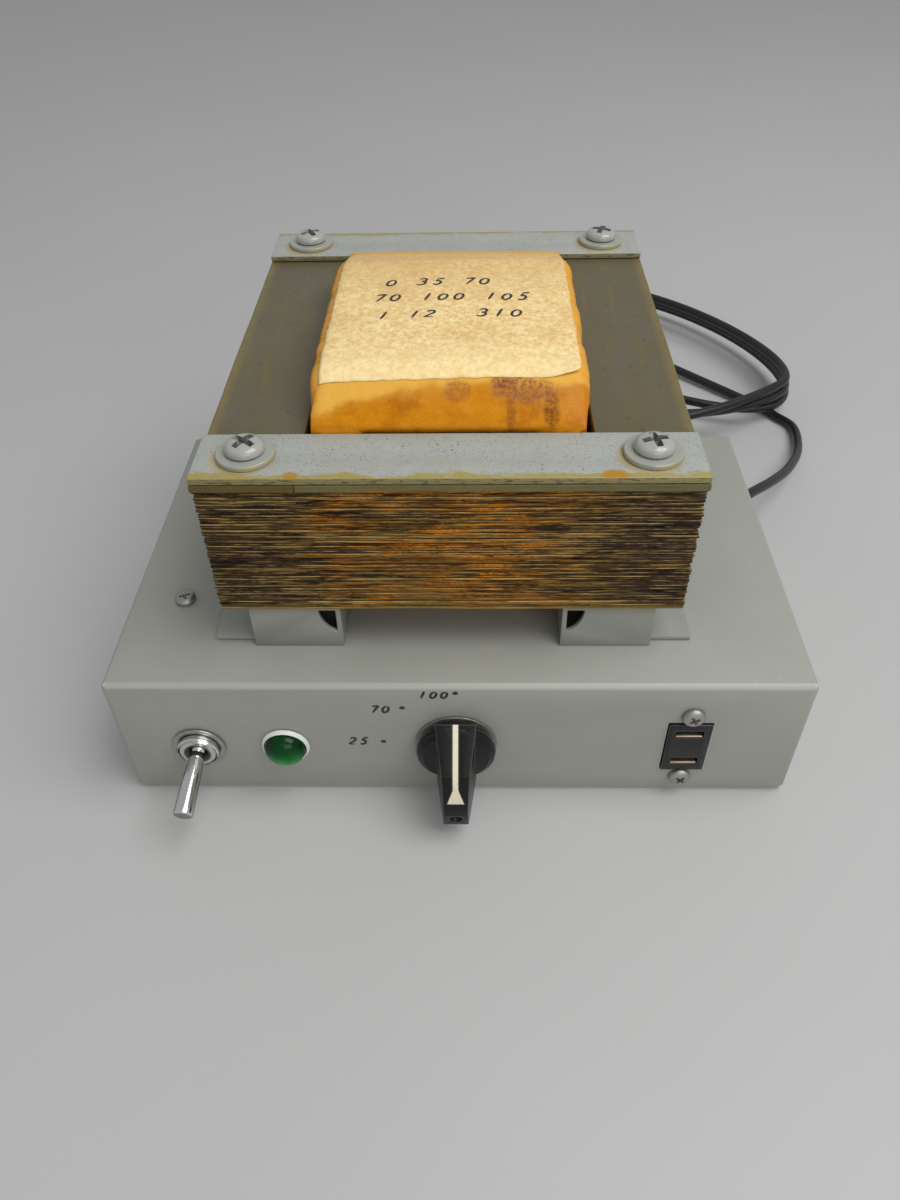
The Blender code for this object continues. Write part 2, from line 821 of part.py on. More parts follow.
def swelled(obj):
    """Rounds a straight coil layer off towards both ends; its origin is the coil's middle."""
    origin = obj.location.copy()
    turn = obj.rotation_euler.to_matrix().to_4x4()
    shape = bmesh.new()
    shape.from_mesh(obj.data)
    bmesh.ops.transform(shape, matrix=turn, verts=shape.verts)
    for share in (0.10, 0.28, 0.55, 1.0):
        for y in (
            WINDOW_FRONT_Y + share * COIL_FRONT_RAMP,
            WINDOW_REAR_Y - share * COIL_REAR_RAMP,
        ):
            cut_plane = {"plane_co": (0, y - origin.y, 0), "plane_no": (0, 1, 0)}
            everything = shape.verts[:] + shape.edges[:] + shape.faces[:]
            bmesh.ops.bisect_plane(shape, geom=everything, dist=1e-7, **cut_plane)
    former_x, former_z = former_half_size()
    for vertex in shape.verts:
        swell = swell_at(vertex.co.y + origin.y)
        waist = 1 - COIL_END_WAIST * (1 - swell)
        vertex.co.x = beyond_scaled(vertex.co.x, former_x + GAP, waist)
        vertex.co.z = beyond_scaled(vertex.co.z, former_z + GAP, swell)
    shape.to_mesh(obj.data)
    shape.free()
    obj.rotation_euler = (0, 0, 0)
    return obj


def coil_plate(name, outlines, length, finish=None, shift=0.0):
    """Outlines of the coil's cross-section drawn out along the centre limb."""
    middle = (CORE_CENTRE_X, CORE_CENTRE_Y + shift, (CORE_BOTTOM + CORE_TOP) / 2)
    made = plate(name, outlines, length, finish, location=middle, rotation=OUT_OF_PANEL)
    return meshed(made)


def make_wrap(length, bore, paper):
    """Paper round the coil, folded in over both ends as far as the former."""
    wrap = coil_plate("coil_wrap", [coil_outline(0.0), coil_outline(WRAP_THICKNESS)], length, paper)
    swelled(wrap)
    for name, sign in (("front", -1), ("rear", 1)):
        shift = sign * (length - WRAP_THICKNESS - FINE_GAP) / 2
        outlines = [coil_outline(WRAP_THICKNESS / 2), bore]
        end = coil_plate(f"wrap_end_{name}", outlines, WRAP_THICKNESS, shift=shift)
        add_boolean(wrap, swelled(end), "UNION")


def make_coil(board, copper, paper, label_paper):
    length = WINDOW_REAR_Y - WINDOW_FRONT_Y - 2 * GAP
    outer, taller = former_half_size()
    inner = outer - FORMER_WALL
    tall = taller - FORMER_WALL
    walls = [rectangle(-outer, outer, -taller, taller), rectangle(-inner, inner, -tall, tall)]
    coil_plate("coil_former", walls, length, board)
    bore = rectangle(-outer - GAP, outer + GAP, -taller - GAP, taller + GAP)
    winding_outline = coil_outline(WRAP_THICKNESS + 2 * GAP)
    swelled(coil_plate("winding", [winding_outline, bore], length - 0.0080, copper))
    make_wrap(length, bore, paper)
    make_label(label_paper)


def make_label(label_paper):
    """A thin sheet that follows the coil's top, and goes over its rear shoulder."""
    steps = 20
    edge = COIL_HALF_WIDTH - COIL_CORNER
    over = []
    for i in range(steps + 1):
        x = LABEL_HALF_WIDTH * (2 * i / steps - 1)
        z = coil_half_height() + GAP + crown_at(x, COIL_HALF_WIDTH, COIL_CROWN)
        if abs(x) > edge:
            z -= COIL_CORNER - math.sqrt(COIL_CORNER**2 - (abs(x) - edge) ** 2)
        over.append((x, z))
    outline = over + [(x, z + LABEL_THICKNESS) for x, z in reversed(over)]
    length = LABEL_REAR_SETBACK - LABEL_FRONT_SETBACK
    middle = CORE_FRONT_Y + (LABEL_REAR_SETBACK + LABEL_FRONT_SETBACK) / 2
    shift = middle - CORE_CENTRE_Y
    swelled(coil_plate("coil_label", [outline], length, label_paper, shift))


def make_lead_sleeve(sleeve):
    """The varnished sleeve that takes the tap leads from the coil to the selector."""
    hole = lead_hole_place()
    start = Vector((hole.x, hole.y, CORE_BOTTOM - COIL_BULGE - GAP))
    guides = [
        start,
        hole - Vector((0, 0, 0.0020)),
        hole + Vector((0, -0.0010, -0.0080)),
        hole + Vector((0.003, -0.0100, -0.0160)),
        Vector((SELECTOR_PLACE[0] + 0.0100, FRONT_Y + 0.0220, SELECTOR_PLACE[1] + 0.0050)),
    ]
    tube("tap_lead_sleeve", smooth_path(guides, 4), 0.0030, sleeve)


# Panel controls


def make_toggle(chrome, steel, black):
    place = on_panel(TOGGLE_PLACE)
    radius = TOGGLE_BUSHING_RADIUS
    mouth = TOGGLE_BUSHING_OUT
    bore = [(0.0035, mouth), (0.0030, mouth - 0.0010), (0.0030, -0.0020), (0.0056, -0.0130)]
    profile = [
        (radius - 0.0006, mouth),
        (radius, mouth - 0.0006),
        (radius, -SHEET - GAP),
        (0.0074, -SHEET - GAP),
        (0.0074, -0.0150),
        (0.0056, -0.0150),
        *reversed(bore),
    ]
    turned("toggle_body", profile, black, ring=True, location=place, rotation=OUT_OF_PANEL)
    hole = radius + FINE_GAP
    turned(
        "toggle_washer",
        ring_profile(hole, 0.00825, GAP, 0.0011),
        steel,
        ring=True,
        location=place,
        rotation=OUT_OF_PANEL,
    )
    nut = [
        (0.00610, 0.0033),
        (0.00655, 0.0028),
        (0.00655, 0.0014),
        (hole, 0.0014),
        (hole, 0.0033),
    ]
    turned("toggle_nut", nut, chrome, ring=True, location=place, rotation=OUT_OF_PANEL)
    make_toggle_lever(chrome)


def make_toggle_lever(chrome):
    """A bat lever on its pivot ball; the switch is turned, so it points down and left."""
    ball = 0.0027
    length = TOGGLE_LEVER_LENGTH
    neck = 0.0014
    profile = [(0.0, length), (0.0023, length), (0.0030, length - 0.0008)]
    profile += [(0.0030, length - 0.0040), (0.0027, 0.0105), (0.0021, 0.0036)]
    for i in range(7):
        angle = math.radians(50 - 100 * i / 6)
        profile.append((ball * math.cos(angle), ball * math.sin(angle)))
    profile += [(neck, -0.0030), (neck, -0.0080), (0.0, -0.0085)]
    tilt = math.pi / 2 + TOGGLE_THROW / 2
    turned(
        "toggle_lever",
        profile,
        chrome,
        steps=24,
        location=on_panel(TOGGLE_PLACE, TOGGLE_PIVOT_OUT),
        rotation=(tilt, TOGGLE_LEAN, 0),
    )


def make_lamp(white, green):
    bezel = LAMP_BEZEL_RADIUS
    lens = LAMP_LENS_RADIUS
    barrel = lens - 0.0006
    bore = barrel - 0.0010
    seat = lens + FINE_GAP
    profile = [
        (seat + 0.0002, 0.0019),
        (bezel - 0.0005, 0.0017),
        (bezel, 0.0010),
        (bezel, GAP),
        (barrel, GAP),
        (barrel, -0.0180),
        (bore, -0.0180),
        (bore, 0.0006),
        (seat, 0.0006),
    ]
    place = on_panel(LAMP_PLACE)
    turned("lamp_housing", profile, white, ring=True, location=place, rotation=OUT_OF_PANEL)
    dome_height = 0.0046
    dome = [
        (
            lens * math.sin(math.radians(90 * i / 7)),
            0.0016 + dome_height * math.cos(math.radians(90 * i / 7)),
        )
        for i in range(8)
    ]
    dome += [(lens, 0.0009), (0.0, 0.0009)]
    turned("lamp_lens", dome, green, location=place, rotation=OUT_OF_PANEL)


def knob_ridge():
    """The bar's front line, from its tip down to its tail: (up, out) from the axis."""
    return [
        (0.0126, 0.0038),
        (0.0100, 0.0064),
        (0.0032, 0.0155),
        (-0.0058, 0.0185),
        (-0.0112, 0.0193),
        (-0.0176, 0.0179),
    ]


def offset_line(points, distance):
    """The polyline moved sideways, each corner on the mitre of its two sides."""
    normals = []
    for (x0, y0), (x1, y1) in zip(points, points[1:]):
        side = Vector((y1 - y0, x0 - x1)).normalized()
        normals.append(side)
    moved = []
    for i, point in enumerate(points):
        before = normals[max(i - 1, 0)]
        after = normals[min(i, len(normals) - 1)]
        mitre = (before + after).normalized()
        moved.append(Vector(point) + mitre * distance / mitre.dot(before))
    return [tuple(p) for p in moved]


def ridge_band(name, out, deep, half_width, **place):
    """The layer of the knob between two depths from its ridge line."""
    ridge = knob_ridge()
    outline = offset_line(ridge, out) + offset_line(ridge, -deep)[::-1]
    return meshed(plate(name, [outline], 2 * half_width, **place))


def pointer_outline(grow):
    """The pointer seen from the front: a line that ends in a triangle."""
    line = 0.0008 + grow
    base = 0.0025 + grow
    tail = -0.0061 - grow
    shoulder = -0.0015
    return [(-line, 0.016), (-line, shoulder), (-base, tail)] + [
        (base, tail),
        (line, shoulder),
        (line, 0.016),
    ]


def pointer_solid(name, grow, out, deep, finish=None):
    """Where the pointer's outline meets the layer under the ridge."""
    origin = on_panel(SELECTOR_PLACE)
    front = origin - Vector((0, 0.012, 0))
    solid = meshed(
        plate(name, [pointer_outline(grow)], 0.026, finish, location=front, rotation=OUT_OF_PANEL)
    )
    band = ridge_band(
        f"{name}_band", out, deep, 0.010, location=origin, rotation=UPRIGHT_SIDE_ON
    )
    add_boolean(solid, band, "INTERSECT")
    return solid


def knob_bar(origin, black):
    """The grip bar, narrower at its front than at the skirt."""
    back = 0.0030
    outline = knob_ridge() + [(-0.0140, back), (0.0122, back)]
    bar = meshed(
        plate(
            "knob_bar",
            [outline],
            2 * KNOB_BASE_HALF_WIDTH,
            black,
            location=origin,
            rotation=UPRIGHT_SIDE_ON,
        )
    )
    front = max(out for _, out in knob_ridge())
    narrowing = 1 - KNOB_FRONT_HALF_WIDTH / KNOB_BASE_HALF_WIDTH
    for vertex in bar.data.vertices:
        share = (vertex.co.y - back) / (front - back)
        vertex.co.z *= 1 - narrowing * min(share, 1.0)
    return bar


def set_screw_line(origin):
    """Mouth and inward direction of the inclined set screw hole in the knob's tail."""
    mouth = origin + Vector((0, -0.0186, -0.0137))
    return mouth, Vector((0, 1, 1)).normalized()


def make_knob(black, cream, steel):
    origin = on_panel(SELECTOR_PLACE)
    recess = 0.0085
    profile = [
        (0.0, KNOB_SKIRT_FRONT + 0.0008),
        (KNOB_SKIRT_RADIUS - 0.0020, KNOB_SKIRT_FRONT),
        (KNOB_SKIRT_RADIUS - 0.0003, KNOB_SKIRT_FRONT - 0.0014),
        (KNOB_SKIRT_RADIUS, KNOB_SKIRT_BACK),
        (0.0, KNOB_SKIRT_BACK),
    ]
    knob = turned("selector_knob", profile, black, location=origin, rotation=OUT_OF_PANEL)
    add_boolean(knob, knob_bar(origin, black), "UNION")
    mouth, inward = set_screw_line(origin)
    cut(
        knob,
        rod("knob_recess", recess, on_panel(SELECTOR_PLACE), on_panel(SELECTOR_PLACE, 0.0052)),
        rod(
            "knob_bore",
            SHAFT_RADIUS + FINE_GAP,
            on_panel(SELECTOR_PLACE),
            on_panel(SELECTOR_PLACE, 0.0125),
        ),
        rod("set_screw_hole", 0.0021, mouth - 0.004 * inward, mouth + 0.0136 * inward),
        pointer_solid("pointer_groove", FINE_GAP, 0.002, 0.0006),
    )
    pointer_solid("knob_pointer", 0.0, 0.00005, 0.00045, cream)
    make_set_screw(mouth + 0.0042 * inward, inward, steel)


def make_set_screw(place, inward, steel):
    length = 0.0085
    radius = 0.0019
    outline = [(0.0, 0.0), (radius, 0.0), (radius, -length), (0.0, -length)]
    turn = Vector((0, 0, -1)).rotation_difference(inward).to_euler()
    screw = turned(
        "knob_set_screw", outline, steel, steps=SMALL_STEPS, location=place, rotation=turn
    )
    slot = box("set_screw_slot", (-0.004, -0.0003, -0.0009), (0.004, 0.0003, 0.002))
    slot.location = place
    slot.rotation_euler = turn
    cut(screw, slot)


def make_selector(black, steel, metal, cream):
    place = on_panel(SELECTOR_PLACE)
    inside = -SHEET - GAP
    bore = SHAFT_RADIUS + RUNNING_GAP
    bushing = 0.0045
    body = [
        (bushing, 0.0038),
        (bushing, inside),
        (0.0140, inside),
        (0.0140, inside - 0.0120),
        (bore, inside - 0.0120),
        (bore, 0.0038),
    ]
    turned("selector_body", body, black, ring=True, location=place, rotation=OUT_OF_PANEL)
    nut_hole = bushing + FINE_GAP
    nut = [
        (0.0078, 0.0034),
        (0.0078, 0.0011),
        (0.0124, 0.0010),
        (0.0124, GAP),
        (nut_hole, GAP),
        (nut_hole, 0.0034),
    ]
    turned("selector_nut", nut, metal, ring=True, location=place, rotation=OUT_OF_PANEL)
    end = inside - 0.0150
    shaft = [
        (0.0, 0.0120),
        (SHAFT_RADIUS - 0.0004, 0.0120),
        (SHAFT_RADIUS, 0.0116),
        (SHAFT_RADIUS, inside - 0.0123),
        (0.0080, inside - 0.0123),
        (0.0080, end),
        (0.0, end),
    ]
    turned("selector_shaft", shaft, steel, location=place, rotation=OUT_OF_PANEL)
    make_knob(black, cream, steel)


def make_outlet(black, brass, zinc):
    centre = on_panel(OUTLET_PLACE)
    half_x = OUTLET_WIDTH / 2
    half_z = OUTLET_HEIGHT / 2
    flange_z = OUTLET_SCREW_PITCH / 2 + 0.0045
    behind = SHEET + GAP
    body = box(
        "outlet_body",
        centre + Vector((-half_x, -0.0009, -half_z)),
        centre + Vector((half_x, 0.0150, half_z)),
        black,
    )
    flange = box(
        "outlet_flange",
        centre + Vector((-half_x, behind, -flange_z)),
        centre + Vector((half_x, behind + 0.0022, flange_z)),
    )
    add_boolean(body, flange, "UNION")
    screw_mesh = pan_head_mesh("outlet_screw", 0.0034, 0.0022, 0.0014, 0.0060, zinc)
    for name, sign in (("upper", 1), ("lower", -1)):
        slot = centre + Vector((0, 0, sign * BLADE_PITCH / 2))
        low = slot + Vector((-0.0043, -0.003, -0.0014))
        high = slot + Vector((0.0043, 0.020, 0.0014))
        cut(body, box(f"outlet_slot_{name}", low, high))
        box(
            f"outlet_contact_{name}",
            slot + Vector((-0.0040, -0.0007, -0.0014 + FINE_GAP)),
            slot + Vector((0.0040, 0.0180, -0.0007)),
            brass,
        )
        height = OUTLET_PLACE[1] + sign * OUTLET_SCREW_PITCH / 2
        place = (OUTLET_PLACE[0], height)
        cut(body, panel_hole(f"flange_hole_{name}", place, 0.0018))
        new_object(
            f"outlet_screw_{name}", screw_mesh, zinc, on_panel(place, GAP), OUT_OF_PANEL
        )


# Mains cord, plug and tag strip


def between(ends, share):
    return ends[0] + (ends[1] - ends[0]) * share


def cord_loops():
    """Loops that leave the pinch on the near side and come back to it on the far side."""
    steps = 26
    along = Vector((math.cos(CORD_LOOP_DIRECTION), math.sin(CORD_LOOP_DIRECTION), 0))
    across = Vector((-along.y, along.x, 0))
    loops = []
    for i in range(int(steps * CORD_TURNS) + 1):
        turn = i / steps
        angle = 2 * math.pi * turn
        share = turn / CORD_TURNS
        length = between(CORD_LOOP_LENGTHS, share) * (1 - math.cos(angle)) / 2
        near = math.sin(angle) > 0
        width = between(CORD_NEAR_WIDTHS if near else CORD_FAR_WIDTHS, share)
        height = CORD_RADIUS + 0.0002 + CORD_TURN_RISE * turn
        middle = Vector((*CORD_PINCH, height)) + length * along
        loops.append(middle + width * math.sin(angle) * across)
    return loops


def cord_path():
    """From the grommet down to the table, round the loose loops, and off to the plug."""
    start = cord_exit()
    loops = cord_loops()
    entry = [
        start - Vector((0.0140, 0, 0)),
        start + Vector((0.0040, 0, 0)),
        start + Vector((0.0060, 0.0002, 0)),
        start + Vector((0.0120, 0.0080, -0.0008)),
        start + Vector((0.0250, 0.0230, -0.0060)),
        start + Vector((0.0390, 0.0430, -0.0130)),
        start + Vector((0.0510, 0.0680, -0.0200)),
        loops[0] + Vector((0.0065, -0.0110, 0.0003)),
        loops[0],
    ]
    plug = Vector((*PLUG_PLACE, PLUG_RADIUS + 0.0002))
    leave = [
        loops[-2],
        loops[-1],
        plug + Vector((0.0380, -0.0200, 0.0040)),
        plug + Vector((0.0200, -0.0020, 0.0)),
        plug + Vector((0.0080, 0.0, 0.0)),
        plug + Vector((0.0025, 0.0, 0.0)),
    ]
    return smooth_path(entry, 4)[:-1] + loops[:-1] + smooth_path(leave, 4)[4:]


def make_cord(black, brass):
    tube("mains_cord", cord_path(), CORD_RADIUS, black)
    profile = [
        (0.0062, 0.0030),
        (0.0062, 0.0006),
        (0.0046, 0.0),
        (0.0046, -0.0026),
        (0.0058, -0.0030),
        (0.0058, -0.0052),
        (CORD_RADIUS + GAP, -0.0052),
        (CORD_RADIUS + GAP, 0.0030),
    ]
    turned(
        "cord_grommet",
        profile,
        black,
        steps=20,
        ring=True,
        location=cord_exit() + Vector((GAP, 0, 0)),
        rotation=(0, math.pi / 2, 0),
    )
    make_plug(black, brass)


def make_plug(black, brass):
    """A moulded two-blade plug lying on the table, its blades pointing to the left."""
    place = Vector((*PLUG_PLACE, PLUG_RADIUS + 0.0002))
    profile = [
        (0.0, 0.0260),
        (PLUG_RADIUS - 0.0010, 0.0260),
        (PLUG_RADIUS, 0.0250),
        (PLUG_RADIUS, 0.0140),
        (0.0060, 0.0060),
        (0.0040, 0.0),
        (0.0040, -0.0060),
        (CORD_RADIUS + GAP, -0.0060),
        (CORD_RADIUS + GAP, 0.0020),
        (0.0, 0.0020),
    ]
    plug = turned(
        "plug_body", profile, black, steps=24, location=place, rotation=(0, -math.pi / 2, 0)
    )
    face = place.x - 0.0260
    for name, sign in (("front", -1), ("rear", 1)):
        y = place.y + sign * BLADE_PITCH / 2
        low = Vector((face - 0.0170, y - 0.00075, place.z - 0.0031))
        high = Vector((face + 0.0060, y + 0.00075, place.z + 0.0031))
        box(f"plug_blade_{name}", low, high, brass)
        margin = Vector((FINE_GAP, FINE_GAP, FINE_GAP))
        cut(plug, box(f"blade_pocket_{name}", low - margin, high + margin))


def make_tag_strip(board, zinc):
    """The terminal strip that joins the internal wiring, under the chassis top."""
    place = tag_screw_place()
    top = CHASSIS_HEIGHT - SHEET - GAP
    outline = rectangle(-0.0060, 0.0060, -0.0060, 0.0300)
    hole = circle(0.0019)
    location = (place.x, place.y, top - 0.0010)
    plate("tag_strip", [outline, hole], 0.0020, board, location=location)
    mesh = pan_head_mesh("tag_screw", 0.0033, 0.0020, 0.0015, 0.0070, zinc)
    new_object("tag_strip_screw", mesh, zinc, place + Vector((0, 0, GAP)))


def main():
    clear_scene()
    grey_paint = material("grey_paint", (0.335, 0.335, 0.290), 0.45)
    light_paint = material("light_grey_paint", (0.395, 0.410, 0.365), 0.42)
    zinc = material("zinc_plate", (0.62, 0.62, 0.60), 0.32, 1.0)
    chrome = material("chrome", (0.80, 0.80, 0.80), 0.12, 1.0)
    steel = material("steel", (0.50, 0.50, 0.49), 0.35, 1.0)
    core_steel = material("varnished_core_steel", (0.135, 0.100, 0.045), 0.45, 0.6)
    copper = material("copper_wire", (0.72, 0.30, 0.12), 0.35, 1.0)
    board = material("pressboard", (0.34, 0.22, 0.10), 0.7)
    paper = material("varnished_paper", (0.72, 0.30, 0.03), 0.4)
    label_paper = material("label_paper", (0.85, 0.66, 0.36), 0.75)
    black = material("black_plastic", (0.012, 0.012, 0.012), 0.25)
    cord_black = material("cord_black", (0.010, 0.010, 0.010), 0.5)
    white = material("white_plastic", (0.78, 0.78, 0.72), 0.35)
    green = material("green_lens", (0.005, 0.26, 0.06), 0.1)
    cream = material("cream_inlay", (0.83, 0.76, 0.60), 0.5)
    brass = material("brass", (0.72, 0.55, 0.30), 0.3, 1.0)

    make_chassis(grey_paint)
    make_bottom_cover(grey_paint, zinc)
    make_core(core_steel)
    make_clamps(light_paint, zinc)
    make_feet(light_paint, zinc)
    make_coil(board, copper, paper, label_paper)
    make_lead_sleeve(board)
    make_toggle(chrome, steel, black)
    make_lamp(white, green)
    make_selector(black, steel, chrome, cream)
    make_outlet(black, brass, zinc)
    make_cord(cord_black, brass)
    make_tag_strip(board, zinc)


main()
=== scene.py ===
import json
import math
import random

import bmesh
import bpy
from mathutils import Matrix, Vector, noise

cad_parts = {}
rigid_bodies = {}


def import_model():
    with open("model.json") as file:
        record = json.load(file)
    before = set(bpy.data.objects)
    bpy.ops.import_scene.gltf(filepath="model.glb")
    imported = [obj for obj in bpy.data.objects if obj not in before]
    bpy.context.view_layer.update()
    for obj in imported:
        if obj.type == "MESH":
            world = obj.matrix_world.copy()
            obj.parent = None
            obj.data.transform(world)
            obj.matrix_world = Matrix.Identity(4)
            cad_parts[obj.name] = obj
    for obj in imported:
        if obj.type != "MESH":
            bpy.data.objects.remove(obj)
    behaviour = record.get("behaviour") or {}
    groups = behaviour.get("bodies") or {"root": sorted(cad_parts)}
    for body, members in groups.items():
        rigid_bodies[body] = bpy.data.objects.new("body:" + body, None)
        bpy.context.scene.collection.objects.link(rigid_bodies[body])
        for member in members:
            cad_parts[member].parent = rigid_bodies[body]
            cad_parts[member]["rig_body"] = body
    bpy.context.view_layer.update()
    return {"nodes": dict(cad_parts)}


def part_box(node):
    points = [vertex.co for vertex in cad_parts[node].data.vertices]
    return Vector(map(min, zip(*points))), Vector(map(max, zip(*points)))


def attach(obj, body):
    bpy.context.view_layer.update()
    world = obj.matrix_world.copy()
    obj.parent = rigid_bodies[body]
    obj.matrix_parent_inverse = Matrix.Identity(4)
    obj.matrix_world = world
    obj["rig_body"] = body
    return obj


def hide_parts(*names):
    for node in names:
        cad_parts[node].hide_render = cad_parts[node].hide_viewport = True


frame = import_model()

MM = 0.001
OUT_OF_PANEL = Matrix.Rotation(math.pi / 2, 4, "X")


def middle_of(node):
    """The middle of a CAD node's box."""
    low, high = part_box(node)
    return (low + high) / 2


def radius_of(node):
    """Half the width of a CAD node's box, in mm."""
    low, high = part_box(node)
    return (high.x - low.x) / 2 / MM


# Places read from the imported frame

FRONT_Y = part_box("chassis_box")[0].y
YOKE_LOW, YOKE_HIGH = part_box("core_yoke_front")
YOKE_WIDTH = YOKE_HIGH.y - YOKE_LOW.y
LIMB_LOW, LIMB_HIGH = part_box("core_limb_left")
LIMB_WIDTH = LIMB_HIGH.x - LIMB_LOW.x
CORE_LOW = YOKE_LOW.copy()
CORE_HIGH = Vector((YOKE_HIGH.x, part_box("core_yoke_rear")[1].y, YOKE_HIGH.z))
CORE_CENTRE = (CORE_LOW + CORE_HIGH) / 2
TOP_STRIP = 2.3 * MM
COIL_LOW, COIL_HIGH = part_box("coil_wrap")
LABEL_LOW, LABEL_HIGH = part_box("coil_label")
STRAP_LOW, STRAP_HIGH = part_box("clamp_strap_front")


# Node materials


def srgb(red, green, blue):
    """A linear colour from the 0 to 255 values that a screen shows."""

    def linear(value):
        share = value / 255
        if share <= 0.04045:
            return share / 12.92
        return ((share + 0.055) / 1.055) ** 2.4

    return (linear(red), linear(green), linear(blue), 1.0)


class Finish:
    """A node material in the making. Patterns lie in the piece's own millimetres."""

    def __init__(self, name):
        self.material = bpy.data.materials.new(name)
        self.material.use_nodes = True
        self.tree = self.material.node_tree
        self.shader = self.tree.nodes["Principled BSDF"]
        coordinates = self.add("TexCoord").outputs["Object"]
        self.place = self.vector("SCALE", coordinates, scale=1 / MM)
        self.geometry = self.add("NewGeometry")
        self.height = None

    def add(self, kind, **settings):
        """A new shader node with its settings."""
        node = self.tree.nodes.new("ShaderNode" + kind)
        for key, value in settings.items():
            setattr(node, key, value)
        return node

    def feed(self, socket, value):
        """Links an output to a socket, or sets a plain value."""
        if isinstance(value, bpy.types.NodeSocket):
            self.tree.links.new(value, socket)
        else:
            socket.default_value = value

    def vector(self, operation, first, second=(0, 0, 0), scale=1.0):
        """One step of vector arithmetic."""
        node = self.add("VectorMath", operation=operation)
        self.feed(node.inputs[0], first)
        self.feed(node.inputs[1], second)
        if operation == "SCALE":
            node.inputs["Scale"].default_value = scale
        return node.outputs[0]

    def math(self, operation, first, second=0.0, clamp=False):
        """One step of arithmetic."""
        node = self.add("Math", operation=operation, use_clamp=clamp)
        self.feed(node.inputs[0], first)
        self.feed(node.inputs[1], second)
        return node.outputs[0]

    def times(self, first, second):
        return self.math("MULTIPLY", first, second)

    def plus(self, first, second):
        return self.math("ADD", first, second)

    def minus(self, first, second):
        return self.math("SUBTRACT", first, second)

    def axes(self, vector=None):
        """The three parts of a vector, by default of the place in millimetres."""
        node = self.add("SeparateXYZ")
        self.feed(node.inputs[0], self.place if vector is None else vector)
        return node.outputs

    def facing(self):
        """The true normal's x, y and z."""
        return self.axes(self.geometry.outputs["True Normal"])

    def noise(self, size, detail=3.0, roughness=0.5, stretch=(1, 1, 1), warp=0.0):
        """Smooth noise between 0 and 1 whose blots are about the given size in mm."""
        node = self.add("TexNoise")
        self.feed(node.inputs["Vector"], self.vector("DIVIDE", self.place, stretch))
        node.inputs["Scale"].default_value = 1 / size
        node.inputs["Detail"].default_value = detail
        node.inputs["Roughness"].default_value = roughness
        node.inputs["Distortion"].default_value = warp
        return node.outputs["Fac"]

    def cells(self, size, stretch=(1, 1, 1)):
        """Distance from the nearest of scattered points, in cells."""
        node = self.add("TexVoronoi")
        self.feed(node.inputs["Vector"], self.vector("DIVIDE", self.place, stretch))
        node.inputs["Scale"].default_value = 1 / size
        return node.outputs["Distance"]

    def attribute(self, name):
        """A value that the mesh carries on its points."""
        return self.add("Attribute", attribute_name=name).outputs["Fac"]

    def step(self, value, start, end):
        """0 where the value is at start, 1 where it is at end, smooth in between."""
        node = self.add("MapRange", interpolation_type="SMOOTHSTEP")
        self.feed(node.inputs["Value"], value)
        node.inputs["From Min"].default_value = min(start, end)
        node.inputs["From Max"].default_value = max(start, end)
        node.inputs["To Min"].default_value = 0.0 if start < end else 1.0
        node.inputs["To Max"].default_value = 1.0 if start < end else 0.0
        return node.outputs["Result"]

    def near(self, centre, radii, softness=0.5, ragged=0.0, size=4.0):
        """1 inside an ellipsoid in mm, fading out at its rim, which noise makes ragged."""
        away = self.vector("SUBTRACT", self.place, centre)
        length = self.add("VectorMath", operation="LENGTH")
        self.feed(length.inputs[0], self.vector("DIVIDE", away, radii))
        distance = length.outputs["Value"]
        if ragged:
            shift = self.times(self.noise(size, 4.0, 0.6), 2 * ragged)
            distance = self.minus(self.plus(distance, shift), ragged)
        return self.step(distance, 1.0, 1.0 - softness)

    def blend(self, share, first, second):
        """From the first colour to the second, by share."""
        node = self.add("Mix", data_type="RGBA")
        self.feed(node.inputs[0], share)
        self.feed(node.inputs[6], first)
        self.feed(node.inputs[7], second)
        return node.outputs[2]

    def tint(self, colour, share, strength, target):
        """The colour, going up to strength of the way to the target where share is 1."""
        return self.blend(self.scale(share, strength), colour, target)

    def number(self, share, first, second):
        """From the first number to the second, by share."""
        node = self.add("Mix", data_type="FLOAT")
        self.feed(node.inputs[0], share)
        self.feed(node.inputs[2], first)
        self.feed(node.inputs[3], second)
        return node.outputs[0]

    def scale(self, value, share):
        """The value times share, kept between 0 and 1."""
        return self.math("MULTIPLY", value, share, clamp=True)

    def relief(self, value, depth):
        """Adds a height of up to depth mm to the surface relief."""
        raised = self.times(value, depth)
        self.height = raised if self.height is None else self.plus(self.height, raised)

    def edges(self, radius):
        """1 on edges sharper than the radius in mm."""
        bevel = self.add("Bevel", samples=4)
        bevel.inputs["Radius"].default_value = radius * MM
        dot = self.add("VectorMath", operation="DOT_PRODUCT")
        self.feed(dot.inputs[0], bevel.outputs["Normal"])
        self.feed(dot.inputs[1], self.geometry.outputs["Normal"])
        return self.step(dot.outputs["Value"], 0.985, 0.85)

    def done(self, colour, roughness=0.5, metallic=0.0, rounding=0.0, **more):
        """Joins everything to the shader and gives the material."""
        self.feed(self.shader.inputs["Base Color"], colour)
        self.feed(self.shader.inputs["Roughness"], roughness)
        self.feed(self.shader.inputs["Metallic"], metallic)
        for key, value in more.items():
            self.feed(self.shader.inputs[key.replace("_", " ")], value)
        normal = None
        if rounding:
            bevel = self.add("Bevel", samples=4)
            bevel.inputs["Radius"].default_value = rounding * MM
            normal = bevel.outputs["Normal"]
        if self.height is not None:
            bump = self.add("Bump")
            bump.inputs["Distance"].default_value = MM
            self.feed(bump.inputs["Height"], self.height)
            if normal is not None:
                self.feed(bump.inputs["Normal"], normal)
            normal = bump.outputs["Normal"]
        if normal is not None:
            self.feed(self.shader.inputs["Normal"], normal)
        return self.material


